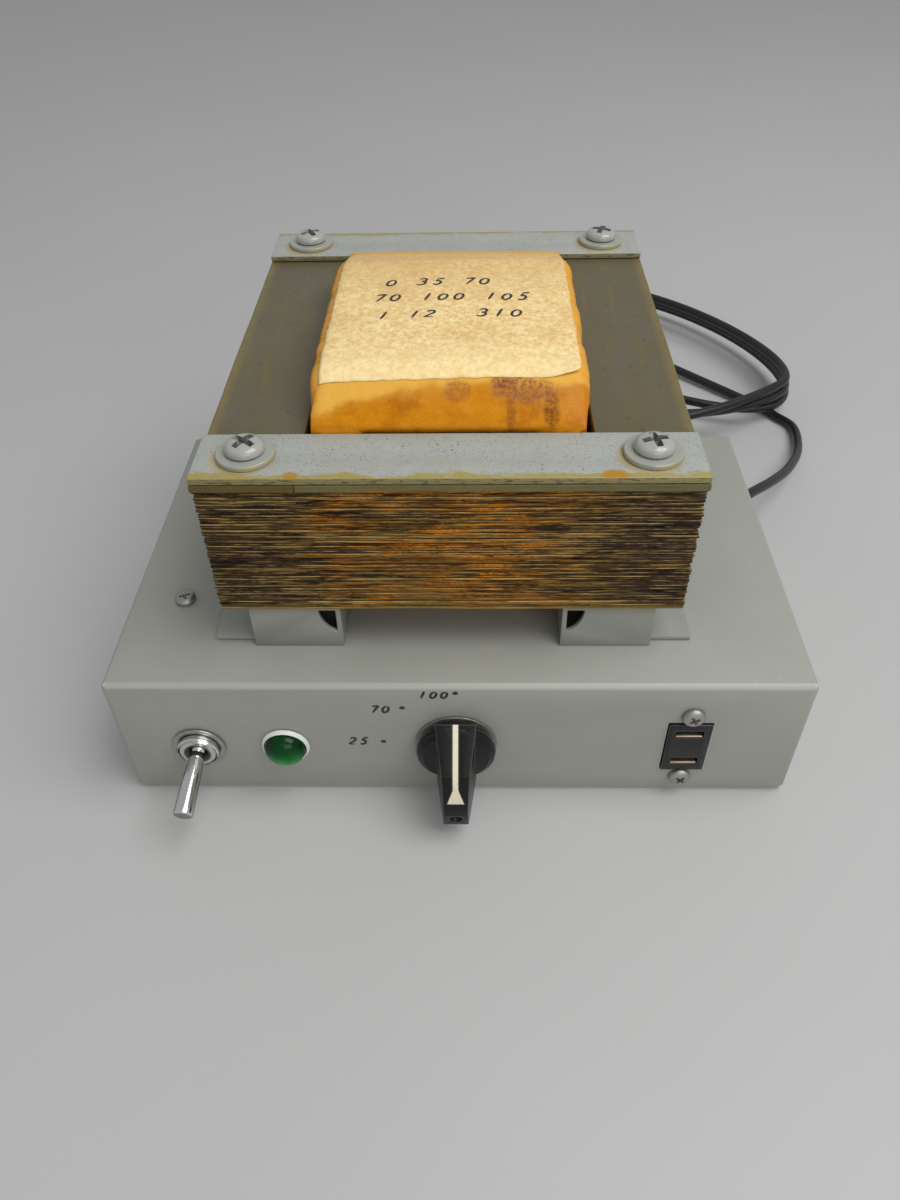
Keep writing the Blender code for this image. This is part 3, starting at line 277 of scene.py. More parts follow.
def chassis_paint():
    """Satin grey stoving paint: fine orange peel, faint clouds, dust, and painted highlights on
    its edges and along its front bend.
    """
    f = Finish("chassis_paint")
    clouds = f.noise(28.0, 4.0, 0.6)
    colour = f.blend(clouds, srgb(148, 149, 140), srgb(160, 160, 150))
    grime = f.step(f.noise(9.0, 5.0, 0.7), 0.60, 0.82)
    colour = f.tint(colour, grime, 0.18, srgb(120, 118, 104))
    dust = f.step(f.cells(2.6), 0.10, 0.05)
    dust = f.times(dust, f.step(f.noise(14.0), 0.50, 0.62))
    colour = f.tint(colour, dust, 0.45, srgb(105, 103, 92))
    pale = f.step(f.cells(3.7, (1.0, 1.3, 1.0)), 0.07, 0.03)
    colour = f.tint(colour, pale, 0.35, srgb(205, 205, 198))
    # Painted highlight: edges lightened unevenly, as a lamp's reflection would light them.
    edge_highlight = f.times(f.edges(1.0), f.number(f.noise(5.0, 4.0, 0.7), 0.5, 1.0))
    colour = f.tint(colour, edge_highlight, 0.75, srgb(206, 207, 200))
    facing = f.facing()
    # Painted highlight along the front bend, on faces that turn halfway between up and forward.
    bend_highlight = f.times(f.step(facing[2], 0.30, 0.50), f.step(facing[2], 0.95, 0.88))
    bend_highlight = f.times(bend_highlight, f.step(facing[1], -0.2, -0.35))
    colour = f.tint(colour, bend_highlight, 0.60, srgb(206, 208, 202))
    f.relief(f.noise(0.9, 2.0), 0.012)
    f.relief(f.noise(0.25, 2.0), 0.004)
    scuffs = f.step(f.noise(3.0, 3.0, 0.6, (9.0, 1.0, 1.0)), 0.62, 0.70)
    roughness = f.number(f.noise(7.0, 4.0), 0.36, 0.50)
    roughness = f.plus(roughness, f.times(scuffs, 0.08))
    return f.done(colour, roughness)


def varnish_line(f, strap_edge, inward):
    """How much varnish has crept over a strap from its outer edge."""
    reach = f.times(f.minus(f.axes()[1], strap_edge / MM), inward)
    wander = f.times(f.noise(6.0, 5.0, 0.65, (2.4, 1.0, 1.0)), 11.0)
    return f.step(f.minus(reach, wander), -3.1, -4.4)


def strap_spots(f, colour, end, drips):
    """A varnish ring round each of the strap's two bolts, and drips on its top."""
    for side in ("left", "right"):
        bolt = middle_of(f"clamp_bolt_{end}_{side}") / MM
        place = (bolt.x - 1.0, bolt.y - 1.2, STRAP_HIGH.z / MM)
        ring = f.near(place, (9.2, 8.6, 4.0), 0.12, 0.10, 4.0)
        colour = f.tint(colour, ring, 0.55, srgb(168, 146, 78))
    for centre, radii, strength in drips:
        drop = f.near(centre, radii, 0.45, 0.22, 2.5)
        colour = f.tint(colour, drop, strength, srgb(172, 122, 8))
    return colour


def strap_paint(end, drips):
    """Light grey paint with a fine stipple, stained by varnish along its outer edge."""
    f = Finish(f"{end}_strap_paint")
    low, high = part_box(f"clamp_strap_{end}")
    edge, inward = (low.y, 1.0) if end == "front" else (high.y, -1.0)
    colour = f.blend(f.noise(16.0, 4.0, 0.6), srgb(155, 158, 150), srgb(170, 173, 166))
    stipple = f.step(f.cells(0.75, (1.25, 1.0, 1.0)), 0.36, 0.16)
    patches = f.step(f.noise(7.0, 4.0, 0.6), 0.30, 0.52)
    colour = f.tint(colour, f.times(stipple, patches), 0.60, srgb(98, 100, 112))
    colour = f.tint(colour, f.step(f.cells(4.2), 0.085, 0.05), 0.75, srgb(60, 58, 62))
    haze = f.step(f.noise(10.0, 4.0, 0.6), 0.50, 0.75)
    colour = f.tint(colour, haze, 0.22, srgb(166, 154, 120))
    stain = varnish_line(f, edge, inward)
    varnish = f.blend(f.noise(2.4, 4.0, 0.7), srgb(146, 126, 34), srgb(168, 156, 92))
    colour = f.tint(colour, stain, 0.90, varnish)
    colour = strap_spots(f, colour, end, drips)
    side = f.step(f.facing()[2], 0.6, 0.2)
    dashes = f.step(f.noise(0.9, 3.0, 0.7, (3.5, 1.0, 0.8)), 0.50, 0.62)
    colour = f.tint(colour, side, 0.92, f.blend(dashes, srgb(132, 124, 82), srgb(82, 70, 44)))
    f.relief(f.noise(0.5, 3.0), 0.02)
    f.relief(stipple, -0.012)
    f.relief(stain, 0.03)
    roughness = f.number(stain, f.number(f.noise(4.0), 0.34, 0.48), 0.22)
    return f.done(colour, roughness, rounding=0.22)


def foot_paint():
    """Smooth light grey enamel on the pressed feet."""
    f = Finish("foot_paint")
    colour = f.blend(f.noise(12.0, 4.0, 0.6), srgb(138, 140, 131), srgb(150, 152, 144))
    dirt = f.step(f.noise(4.0, 5.0, 0.7), 0.58, 0.80)
    colour = f.tint(colour, dirt, 0.30, srgb(122, 118, 100))
    top = f.step(f.axes()[2], CORE_LOW.z / MM - 4.0, CORE_LOW.z / MM)
    colour = f.tint(colour, f.times(top, f.noise(2.5, 4.0)), 0.6, srgb(126, 112, 76))
    f.relief(f.noise(0.8, 3.0), 0.02)
    return f.done(colour, f.number(f.noise(5.0), 0.26, 0.40), rounding=0.3)


def bolt_paint():
    """Thick glossy light grey enamel over a bolt head or washer."""
    f = Finish("bolt_paint")
    colour = f.blend(f.noise(3.0, 4.0, 0.6), srgb(152, 155, 148), srgb(168, 170, 164))
    specks = f.step(f.cells(1.5), 0.10, 0.05)
    colour = f.tint(colour, specks, 0.6, srgb(92, 88, 84))
    low = f.step(f.noise(2.6, 4.0, 0.6), 0.52, 0.70)
    colour = f.tint(colour, low, 0.35, srgb(176, 164, 118))
    f.relief(f.noise(1.1, 3.0), 0.05)
    return f.done(colour, f.number(f.noise(2.0), 0.16, 0.28), Coat_Weight=0.4)


def washer_paint():
    """The bolts' enamel with amber varnish run round the rim."""
    f = Finish("washer_paint")
    colour = f.blend(f.noise(3.0, 4.0, 0.6), srgb(146, 149, 140), srgb(160, 162, 154))
    side = f.step(f.facing()[2], 0.75, 0.25)
    ring = f.times(side, f.step(f.noise(3.0, 3.0, 0.5), 0.35, 0.60))
    colour = f.tint(colour, ring, 0.75, srgb(176, 160, 96))
    f.relief(f.noise(1.0, 3.0), 0.05)
    return f.done(colour, f.number(f.noise(2.0), 0.18, 0.32), Coat_Weight=0.3)


def chipped_metal():
    """Bare dark metal where a driver has chipped the paint in a recess."""
    f = Finish("chipped_metal")
    chips = f.step(f.noise(1.6, 3.0, 0.6), 0.50, 0.66)
    colour = f.blend(f.scale(chips, 0.7), srgb(98, 96, 92), srgb(150, 151, 146))
    f.relief(f.noise(0.8, 2.0), 0.02)
    return f.done(colour, 0.40, f.number(chips, 0.3, 0.0))


def strip_colour(f, streaks, fine):
    """Dark varnish with paler lines, each strip in its own tone."""
    mix = f.plus(f.times(streaks, 0.66), f.times(fine, 0.34))
    mix = f.plus(mix, f.times(f.minus(f.attribute("tone"), 0.5), 0.16))
    colour = f.blend(f.step(mix, 0.42, 0.52), srgb(34, 21, 8), srgb(100, 78, 38))
    return f.tint(colour, f.step(mix, 0.53, 0.60), 0.95, srgb(160, 128, 62))


def rusty(f, colour, away, centre):
    """Rust and warm stains in the middle of a face, rusty lines nearly to its ends."""
    spots = f.step(f.noise(2.0, 5.0, 0.74, (5.5, 5.5, 0.7), 0.5), 0.43, 0.54)
    zone = f.step(f.noise(11.0, 3.0, 0.6, (2.0, 2.0, 0.9)), 0.40, 0.54)
    grains = f.step(f.noise(0.42, 3.0, 0.7, (2.2, 2.2, 0.7)), 0.38, 0.62)
    rust = f.blend(grains, srgb(132, 70, 6), srgb(220, 138, 22))
    colour = f.tint(colour, f.times(spots, f.times(zone, centre)), 0.95, rust)
    warm = f.times(centre, f.step(f.noise(6.0, 4.0, 0.7, (4.0, 4.0, 0.8)), 0.40, 0.60))
    colour = f.tint(colour, warm, 0.50, srgb(128, 74, 12))
    lines = f.step(f.noise(1.1, 3.0, 0.6, (16.0, 16.0, 0.22)), 0.60, 0.66)
    lines = f.times(lines, f.step(away, 62.0, 46.0))
    return f.tint(colour, lines, 0.75, srgb(216, 136, 24))


def sooty(f, colour, away, outer, fine):
    """Purple-brown and black patches towards the ends of a face."""
    patches = f.step(f.noise(7.0, 4.0, 0.6, (2.0, 2.0, 0.6)), 0.32, 0.52)
    purple = f.blend(f.step(fine, 0.44, 0.62), srgb(36, 22, 16), srgb(92, 66, 50))
    colour = f.tint(colour, f.times(outer, patches), 0.92, purple)
    soot = f.step(f.noise(5.0, 4.0, 0.65, (3.2, 3.2, 0.5)), 0.50, 0.62)
    soot = f.times(soot, f.step(away, 8.0, 26.0))
    return f.tint(colour, soot, 0.90, srgb(20, 12, 7))


def strip_edges(f, colour, streaks, z):
    """Painted shade under each strip, painted highlight lines on its upper corner, varnish at
    the bottom.
    """
    edge = f.attribute("edge")
    # Painted shade: black along each strip's underside and the seam below it.
    colour = f.tint(colour, f.step(edge, 0.10, 0.75), 0.92, srgb(20, 13, 8))
    # Painted highlight: pale lines on each strip's upper corner, as if lit from above.
    lit = f.times(f.step(edge, -0.12, -0.55), f.step(streaks, 0.44, 0.58))
    colour = f.tint(colour, lit, 0.80, srgb(190, 160, 96))
    bottom = CORE_LOW.z / MM
    low_edge = f.step(z, bottom + 2.4, bottom + 0.6)
    return f.tint(colour, low_edge, 0.6, srgb(150, 124, 60))


def top_sheet(f, away, runs):
    """The core's top face: olive varnish with bluish patches, runs, spots and a rim."""
    sheet = f.blend(f.noise(22.0, 4.0, 0.6, (1, 2.2, 1)), srgb(88, 81, 58), srgb(102, 95, 72))
    bluish = f.step(f.noise(12.0, 4.0, 0.6, (1, 1.8, 1)), 0.50, 0.68)
    sheet = f.tint(sheet, bluish, 0.40, srgb(98, 94, 86))
    sheet = f.tint(sheet, runs, 0.55, srgb(108, 92, 42))
    sheet = f.tint(sheet, f.step(f.cells(5.5), 0.14, 0.08), 0.4, srgb(60, 48, 30))
    rim = f.times(f.step(away, 63.0, 66.2), f.noise(3.0, 4.0))
    return f.tint(sheet, rim, 0.9, srgb(136, 116, 56))


def top_strip(f, x, streaks):
    """The edge of the thick top strip: cleaner olive, browner in its left part."""
    olive = f.blend(f.noise(4.0, 4.0, 0.6, (4, 4, 1)), srgb(102, 96, 58), srgb(126, 122, 84))
    joint = CORE_LOW.x / MM + LIMB_WIDTH / MM
    olive = f.tint(olive, f.step(x, joint + 1.0, joint), 0.7, srgb(100, 80, 38))
    return f.tint(olive, f.step(streaks, 0.50, 0.62), 0.3, srgb(80, 66, 34))


def core_finish():
    """Varnished strip steel: rust and dark varnish on the edges, olive grey on the top."""
    f = Finish("varnished_strips")
    x, y, z = f.axes()
    streaks = f.noise(1.3, 5.0, 0.74, (9.0, 9.0, 0.42))
    fine = f.noise(0.50, 4.0, 0.75, (5.0, 5.0, 0.45), 0.4)
    away = f.math("ABSOLUTE", f.minus(x, CORE_CENTRE.x / MM))
    away_y = f.math("ABSOLUTE", f.minus(y, CORE_CENTRE.y / MM))
    on_side = f.step(f.math("ABSOLUTE", f.facing()[0]), 0.3, 0.7)
    centre = f.number(on_side, f.step(away, 46.0, 18.0), f.step(away_y, 62.0, 34.0))
    outer = f.number(on_side, f.step(away, 37.0, 52.0), 0.55)
    colour = strip_colour(f, streaks, fine)
    colour = rusty(f, colour, away, centre)
    colour = sooty(f, colour, away, outer, fine)
    colour = strip_edges(f, colour, streaks, z)
    top = f.step(f.facing()[2], 0.86, 0.97)
    runs = f.step(f.noise(5.0, 4.0, 0.65, (1.0, 6.0, 1.0)), 0.52, 0.68)
    colour = f.blend(top, colour, top_sheet(f, away, runs))
    seam = CORE_HIGH.z / MM - TOP_STRIP / MM
    upper = f.times(f.step(z, seam - 0.3, seam + 0.1), f.minus(1.0, top))
    colour = f.tint(colour, upper, 0.90, top_strip(f, x, streaks))
    f.relief(f.noise(0.30, 3.0, 0.6, (5.0, 5.0, 0.6)), 0.12)
    f.relief(streaks, 0.20)
    roughness = f.number(f.noise(3.0, 4.0), 0.32, 0.55)
    roughness = f.number(top, roughness, f.number(runs, 0.40, 0.26))
    return f.done(colour, roughness, Specular_IOR_Level=f.number(top, 0.16, 0.40))


def dry_paper(f, x, y, front):
    """1 where the wrap stayed dry: behind a wavy line that runs forward at the left."""
    left = f.math("DIVIDE", f.minus(CORE_CENTRE.x / MM + 14.0, x), 46.0)
    left = f.math("MAXIMUM", left, 0.0)
    depth = f.plus(f.minus(y, front + 8.3), f.times(f.times(left, left), 5.5))
    wander = f.times(f.minus(f.noise(10.0, 3.0, 0.5), 0.5), 8.0)
    return f.step(f.plus(depth, wander), -1.8, 2.2)


def stained(f, colour, front):
    """Brown stains at the label's front edge, and two smears that run down from them."""
    cx = CORE_CENTRE.x / MM
    top = COIL_HIGH.z / MM
    stains = (
        ((cx + 20.0, front + 7.6, top - 3), (11.0, 4.2, 12.0), srgb(138, 82, 46), 0.90),
        ((cx + 14.5, front + 9.0, top - 3), (4.5, 2.2, 12.0), srgb(122, 70, 50), 0.80),
        ((cx + 2.0, front + 7.0, top - 3), (4.6, 3.4, 12.0), srgb(158, 92, 40), 0.75),
        ((cx + 16.6, front + 3.0, top - 12), (1.7, 4.6, 16.0), srgb(134, 76, 12), 0.75),
        ((cx + 27.6, front + 3.4, top - 12), (2.8, 5.0, 16.0), srgb(116, 62, 10), 0.90),
    )
    mottle = f.number(f.step(f.noise(1.1, 5.0, 0.75), 0.40, 0.60), 0.35, 1.0)
    for centre, radii, stain_colour, strength in stains:
        stain = f.times(f.near(centre, radii, 0.45, 0.40, 6.0), mottle)
        colour = f.tint(colour, stain, strength, stain_colour)
    return colour


def coil_finish():
    """Amber varnished paper: soaked and dry areas, brown stains, fibres and creases."""
    f = Finish("varnished_paper")
    x, y, _ = f.axes()
    front = COIL_LOW.y / MM
    fibres = f.noise(0.5, 4.0, 0.65)
    blots = f.noise(7.0, 5.0, 0.6)
    amber = f.blend(blots, srgb(180, 106, 2), srgb(212, 138, 8))
    amber = f.tint(amber, f.step(fibres, 0.45, 0.70), 0.35, srgb(226, 158, 34))
    deep = f.step(f.noise(9.0, 4.0, 0.6, (1.4, 1.0, 1.0)), 0.46, 0.66)
    amber = f.tint(amber, deep, 0.65, srgb(166, 92, 2))
    dry_share = dry_paper(f, x, y, front)
    colour = f.blend(dry_share, amber, f.blend(fibres, srgb(216, 156, 52), srgb(236, 184, 84)))
    tide = f.times(f.step(dry_share, 0.02, 0.30), f.step(dry_share, 0.8, 0.3))
    colour = f.tint(colour, tide, 0.30, srgb(196, 118, 14))
    colour = stained(f, colour, front)
    scattered = f.step(f.noise(11.0, 5.0, 0.7), 0.62, 0.74)
    colour = f.tint(colour, scattered, 0.45, srgb(176, 96, 26))
    sides = f.step(f.math("ABSOLUTE", f.minus(x, CORE_CENTRE.x / MM)), 34.0, 38.0)
    colour = f.tint(colour, sides, 0.35, srgb(196, 116, 30))
    f.relief(f.noise(6.0, 4.0, 0.55), 0.35)
    f.relief(f.noise(1.2, 4.0, 0.6), 0.05)
    f.relief(fibres, 0.02)
    roughness = f.number(dry_share, f.number(blots, 0.24, 0.42), 0.55)
    coat = f.number(dry_share, 0.05, 0.01)
    return f.done(colour, roughness, Specular_IOR_Level=0.10, Coat_Weight=coat)


def label_finish():
    """Cream paper glued down with varnish, which shows through in small flakes."""
    f = Finish("label_paper")
    flakes = f.noise(1.7, 7.0, 0.78, (1.0, 1.1, 1.0))
    colour = f.blend(f.step(flakes, 0.34, 0.64), srgb(218, 178, 110), srgb(251, 228, 170))
    bright = f.step(f.noise(0.75, 3.0, 0.6, (1.2, 1.0, 1.0)), 0.60, 0.72)
    colour = f.tint(colour, bright, 0.55, srgb(254, 238, 188))
    clouds = f.noise(15.0, 4.0, 0.6)
    colour = f.tint(colour, f.step(clouds, 0.45, 0.70), 0.35, srgb(214, 168, 106))
    y = f.axes()[1]
    front_glow = f.step(y, LABEL_LOW.y / MM + 24.0, LABEL_LOW.y / MM)
    colour = f.tint(colour, front_glow, 0.45, srgb(252, 228, 168))
    rear_tan = f.step(y, LABEL_LOW.y / MM + 30.0, LABEL_HIGH.y / MM - 10.0)
    colour = f.tint(colour, rear_tan, 0.55, srgb(206, 166, 106))
    fine = f.noise(0.3, 3.0, 0.6)
    f.relief(fine, 0.015)
    f.relief(f.noise(2.0, 4.0, 0.6), 0.06)
    f.relief(f.noise(14.0, 2.0, 0.5), 0.5)
    return f.done(colour, f.number(flakes, 0.75, 0.5), Specular_IOR_Level=0.2)


def plated(name, colour, roughness, spotted=0.2, rim_dark_reflection=0.0):
    """Plated or plain metal with fine handling marks, a little tarnish and, where asked, a
    painted dark reflection round its outline.
    """
    f = Finish(name)
    dull = f.step(f.noise(2.2, 4.0, 0.65), 0.45, 0.75)
    dark = tuple(0.55 * part for part in colour[:3]) + (1.0,)
    tinted = f.blend(f.scale(dull, spotted), colour, dark)
    if rim_dark_reflection:
        # Painted dark reflection where the surface turns away from the view.
        turned_away = f.step(f.add("LayerWeight").outputs["Facing"], 0.35, 0.80)
        tinted = f.tint(tinted, turned_away, rim_dark_reflection, srgb(52, 51, 50))
    f.relief(f.noise(0.6, 3.0), 0.008)
    f.relief(f.noise(0.9, 2.0, 0.5, (6.0, 1.0, 1.0)), 0.006)
    return f.done(tinted, f.number(dull, roughness, roughness + 0.16), 1.0, rounding=0.15)


def switch_body_finish():
    """Bright plated bushing in front of the panel, black moulding behind it, and painted shade,
    nearly black, inside its bore.
    """
    f = Finish("switch_body")
    x, y, z = f.axes()
    outside = f.step(y, FRONT_Y / MM + 0.4, FRONT_Y / MM - 0.1)
    middle = middle_of("toggle_body") / MM
    dx = f.minus(x, middle.x)
    dz = f.minus(z, middle.z)
    squares = f.plus(f.times(dx, dx), f.times(dz, dz))
    # Painted shade: within the bore's radius the plating is darkened to nearly black.
    bore_shade = f.step(squares, 4.3**2, 4.0**2)
    metal = f.times(outside, f.minus(1.0, f.scale(bore_shade, 0.9)))
    colour = f.blend(metal, srgb(22, 20, 18), srgb(214, 212, 206))
    f.relief(f.noise(0.6, 3.0), 0.01)
    return f.done(colour, f.number(metal, 0.6, 0.16), metal)


def black_plastic(name, roughness, dusty=0.3, rounding=0.2, shine=0.5):
    """Moulded black plastic with dust in its finish, fine scratches and painted highlights along
    its edges.
    """
    f = Finish(name)
    dust = f.step(f.noise(1.3, 5.0, 0.7), 0.55, 0.80)
    colour = f.blend(f.scale(dust, 0.10 * dusty), srgb(16, 16, 17), srgb(120, 118, 112))
    specks = f.step(f.cells(1.9), 0.07, 0.03)
    colour = f.tint(colour, specks, dusty, srgb(130, 128, 122))
    f.relief(f.noise(0.5, 3.0), 0.006)
    f.relief(f.step(f.noise(1.5, 3.0, 0.6, (7.0, 1.0, 1.0)), 0.62, 0.68), -0.004)
    dulled = f.number(dust, roughness, roughness + 0.18)
    # Painted highlight: sharp edges lightened as if catching the light.
    colour = f.tint(colour, f.edges(0.45), 0.60, srgb(130, 130, 128))
    return f.done(colour, dulled, rounding=rounding, Specular_IOR_Level=shine)


def cord_finish():
    """Soft black flex: dull, with long faint scuffs."""
    f = Finish("cord_rubber")
    scuffs = f.step(f.noise(2.0, 4.0, 0.7), 0.52, 0.75)
    colour = f.blend(f.scale(scuffs, 0.35), srgb(20, 20, 21), srgb(58, 58, 58))
    f.relief(f.noise(0.6, 3.0), 0.02)
    return f.done(colour, f.number(scuffs, 0.34, 0.50))


def cream_inlay():
    """Filled pointer line: cream, slightly soiled towards its edges."""
    f = Finish("cream_inlay")
    soil = f.step(f.noise(1.0, 4.0, 0.7), 0.50, 0.75)
    colour = f.blend(f.scale(soil, 0.35), srgb(232, 220, 196), srgb(178, 152, 116))
    f.relief(f.noise(0.4, 3.0), 0.02)
    return f.done(colour, 0.5)


def white_plastic():
    """The lamp's bezel: satin white, a little yellowed."""
    f = Finish("white_plastic")
    colour = f.blend(f.noise(2.5, 4.0, 0.6), srgb(222, 222, 212), srgb(236, 236, 230))
    soil = f.step(f.noise(1.2, 4.0, 0.7), 0.58, 0.80)
    colour = f.tint(colour, soil, 0.4, srgb(150, 146, 128))
    f.relief(f.noise(0.5, 3.0), 0.01)
    return f.done(colour, 0.32, Subsurface_Weight=0.1)


def lens_finish():
    """Clear green moulding, with painted light brighter towards its bottom, darker towards its
    top, painted shade round its rim and faint darker swirls.
    """
    f = Finish("green_lens")
    x, y, _ = f.axes()
    # Painted light: brighter green towards the bottom, darker towards the top.
    colour = f.blend(f.step(y, 3.0, -3.5), srgb(2, 60, 20), srgb(10, 150, 60))
    out = f.math("SQRT", f.plus(f.times(x, x), f.times(y, y)))
    # Painted shade round the lens's rim.
    colour = f.tint(colour, f.step(out, 3.4, 6.2), 0.75, srgb(1, 34, 10))
    swirl = f.noise(2.2, 4.0, 0.6, (1, 1, 1), 0.8)
    colour = f.tint(colour, f.step(swirl, 0.45, 0.62), 0.50, srgb(4, 70, 26))
    f.relief(f.noise(1.6, 3.0), 0.03)
    return f.done(colour, f.number(swirl, 0.06, 0.14), Specular_IOR_Level=0.22)


def board_finish():
    """Brown insulating board and sleeving: fibrous and dull."""
    f = Finish("pressboard")
    grain = f.noise(0.8, 4.0, 0.7, (4.0, 1.0, 1.0))
    colour = f.blend(grain, srgb(92, 66, 38), srgb(134, 100, 62))
    f.relief(grain, 0.04)
    return f.done(colour, 0.75)


def copper_finish():
    """Layers of enamelled wire, seen as fine ridges round the coil."""
    f = Finish("copper_wire")
    ridges = f.add("TexWave", wave_type="BANDS", bands_direction="Y")
    f.feed(ridges.inputs["Vector"], f.place)
    ridges.inputs["Scale"].default_value = 0.5
    lines = ridges.outputs["Fac"]
    colour = f.blend(lines, srgb(96, 40, 18), srgb(190, 96, 48))
    f.relief(lines, 0.25)
    return f.done(colour, 0.3, 0.9)


def ink_finish(name, colour):
    """Pen ink or printed paint, thin in places."""
    f = Finish(name)
    thin = f.step(f.noise(0.5, 4.0, 0.7), 0.45, 0.75)
    paler = tuple(part + 0.10 for part in colour[:3]) + (1.0,)
    return f.done(f.blend(thin, colour, paler), 0.6)


def floor_finish():
    """A matt pale grey table top with a barely visible grain."""
    f = Finish("table_top")
    grain = f.noise(0.8, 4.0, 0.6)
    colour = f.blend(f.noise(160.0, 3.0, 0.5), srgb(182, 181, 180), srgb(188, 187, 186))
    colour = f.tint(colour, f.step(grain, 0.55, 0.75), 0.10, srgb(176, 175, 172))
    f.relief(grain, 0.01)
    return f.done(colour, f.number(grain, 0.48, 0.60))


# Mesh helpers


def add_piece(name, mesh, finishes, body="chassis", nodes=(), place=None):
    """A piece with its materials, riding on a body and standing for CAD nodes."""
    for material in finishes:
        mesh.materials.append(material)
    obj = bpy.data.objects.new(name, mesh)
    if place is not None:
        obj.matrix_world = place
    bpy.context.scene.collection.objects.link(obj)
    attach(obj, body)
    if nodes:
        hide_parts(*nodes)
    return obj


def linked(name, data):
    """A new object in the scene."""
    obj = bpy.data.objects.new(name, data)
    bpy.context.scene.collection.objects.link(obj)
    return obj


def smoothed(mesh, crease):
    """The mesh, smooth-shaded but sharp at edges over the crease angle."""
    mesh.shade_smooth()
    mesh.set_sharp_from_angle(angle=math.radians(crease))
    return mesh


def mesh_of(name, shape, crease=35.0):
    """A smooth-shaded mesh from a bmesh, sharp at edges over the crease angle."""
    bmesh.ops.recalc_face_normals(shape, faces=shape.faces)
    mesh = bpy.data.meshes.new(name)
    shape.to_mesh(mesh)
    shape.free()
    return smoothed(mesh, crease)


def bridge(shape, rows, closed=True):
    """Faces between each row of vertices and the next; closed rows go all the way round."""
    for first, second in zip(rows, rows[1:]):
        count = len(first)
        for i in range(count if closed else count - 1):
            j = (i + 1) % count
            shape.faces.new((first[i], first[j], second[j], second[i]))


def lathe(name, profile, steps=64, closed=False, crease=35.0):
    """A profile of (radius, height) in mm turned about Z; closed joins its ends."""
    shape = bmesh.new()
    rings = []
    for radius, height in profile:
        if radius < 1e-6:
            rings.append([shape.verts.new((0, 0, height * MM))])
            continue
        ring = []
        for i in range(steps):
            x = radius * MM * math.cos(2 * math.pi * i / steps)
            y = radius * MM * math.sin(2 * math.pi * i / steps)
            ring.append(shape.verts.new((x, y, height * MM)))
        rings.append(ring)
    pairs = list(zip(rings, rings[1:]))
    if closed:
        pairs.append((rings[-1], rings[0]))
    for first, second in pairs:
        for i in range(steps):
            j = (i + 1) % steps
            corners = [first[i % len(first)], second[i % len(second)]]
            corners += [second[j % len(second)], first[j % len(first)]]
            unique = list(dict.fromkeys(corners))
            if len(unique) > 2:
                shape.faces.new(unique)
    return mesh_of(name, shape, crease)


def arc(centre, radius, start, end, steps=6):
    """Points of an arc in a profile, in mm, by angle in degrees from +radius."""
    points = []
    for i in range(steps + 1):
        angle = math.radians(start + (end - start) * i / steps)
        x = centre[0] + radius * math.cos(angle)
        points.append((x, centre[1] + radius * math.sin(angle)))
    return points


def baked(obj):
    """The object's mesh with its modifiers applied; the object is removed."""
    graph = bpy.context.evaluated_depsgraph_get()
    graph.update()
    mesh = bpy.data.meshes.new_from_object(obj.evaluated_get(graph))
    bpy.data.objects.remove(obj, do_unlink=True)
    return mesh


def welded(node):
    """The CAD node's surface as joined, flat-merged faces."""
    shape = bmesh.new()
    shape.from_mesh(frame["nodes"][node].data)
    bmesh.ops.remove_doubles(shape, verts=shape.verts, dist=2e-6)
    bmesh.ops.dissolve_limit(
        shape, angle_limit=math.radians(0.4), verts=shape.verts, edges=shape.edges
    )
    return shape


def refined(node, material, bevel=0.0, segments=2, crease=35.0):
    """Stands for a CAD node with the same shape, its sharp edges rounded by bevel mm."""
    shape = welded(node)
    mesh = mesh_of(node + "_skin", shape, crease)
    mesh.materials.clear()
    body = frame["nodes"][node]["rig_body"]
    if bevel:
        helper = linked("helper", mesh)
        modifier = helper.modifiers.new("rounding", "BEVEL")
        modifier.width = bevel * MM
        modifier.segments = segments
        modifier.limit_method = "ANGLE"
        modifier.angle_limit = math.radians(crease)
        mesh = smoothed(baked(helper), crease)
    return add_piece(node + "_skin", mesh, [material], body, [node])


def ragged(point, size, seed):
    """Smooth noise between -1 and 1 at a point, with features of about size mm."""
    return noise.noise(Vector(point) / (size * MM) + Vector((seed, 1.7 * seed, 0.3 * seed)))


# Core


STRIP_COUNT = 42
STEP_ALONG = 3.5 * MM
INWARD = (Vector((0, 1)), Vector((-1, 0)), Vector((0, -1)), Vector((1, 0)))
WINDOW_SIDE = {"front": 2, "rear": 0, "left": 1, "right": 3}
WINDOW_RAMP = 3.0 * MM


def strip_levels():
    """Bottom and top height of each strip, uneven as cut and varnished strips are."""
    dice = random.Random(11)
    weights = [dice.uniform(0.70, 1.30) for _ in range(STRIP_COUNT)]
    height = CORE_HIGH.z - CORE_LOW.z - TOP_STRIP
    levels = []
    bottom = CORE_LOW.z
    for weight in weights:
        top = bottom + height * weight / sum(weights)
        levels.append((bottom, top))
        bottom = top
    levels.append((bottom, CORE_HIGH.z))
    return levels


def strip_reach(member, turn, gap):
    """Lowest and highest corner of a strip: corners overlap one way, then the other."""
    low, high = CORE_LOW.copy(), CORE_HIGH.copy()
    if member in ("front", "rear"):
        if (member == "front") == turn:
            low.x += LIMB_WIDTH + gap
        else:
            high.x -= LIMB_WIDTH + gap
        if member == "front":
            high.y = low.y + YOKE_WIDTH
        else:
            low.y = high.y - YOKE_WIDTH
    else:
        if (member == "right") == turn:
            low.y += YOKE_WIDTH + gap
        else:
            high.y -= YOKE_WIDTH + gap
        if member == "left":
            high.x = low.x + LIMB_WIDTH
        else:
            low.x = high.x - LIMB_WIDTH
    return low, high


def joined_side(member, turn):
    """The side (0 front, 1 right, 2 rear, 3 left) where a strip butts another member."""
    if member in ("front", "rear"):
        return 3 if (member == "front") == turn else 1
    return 0 if (member == "right") == turn else 2


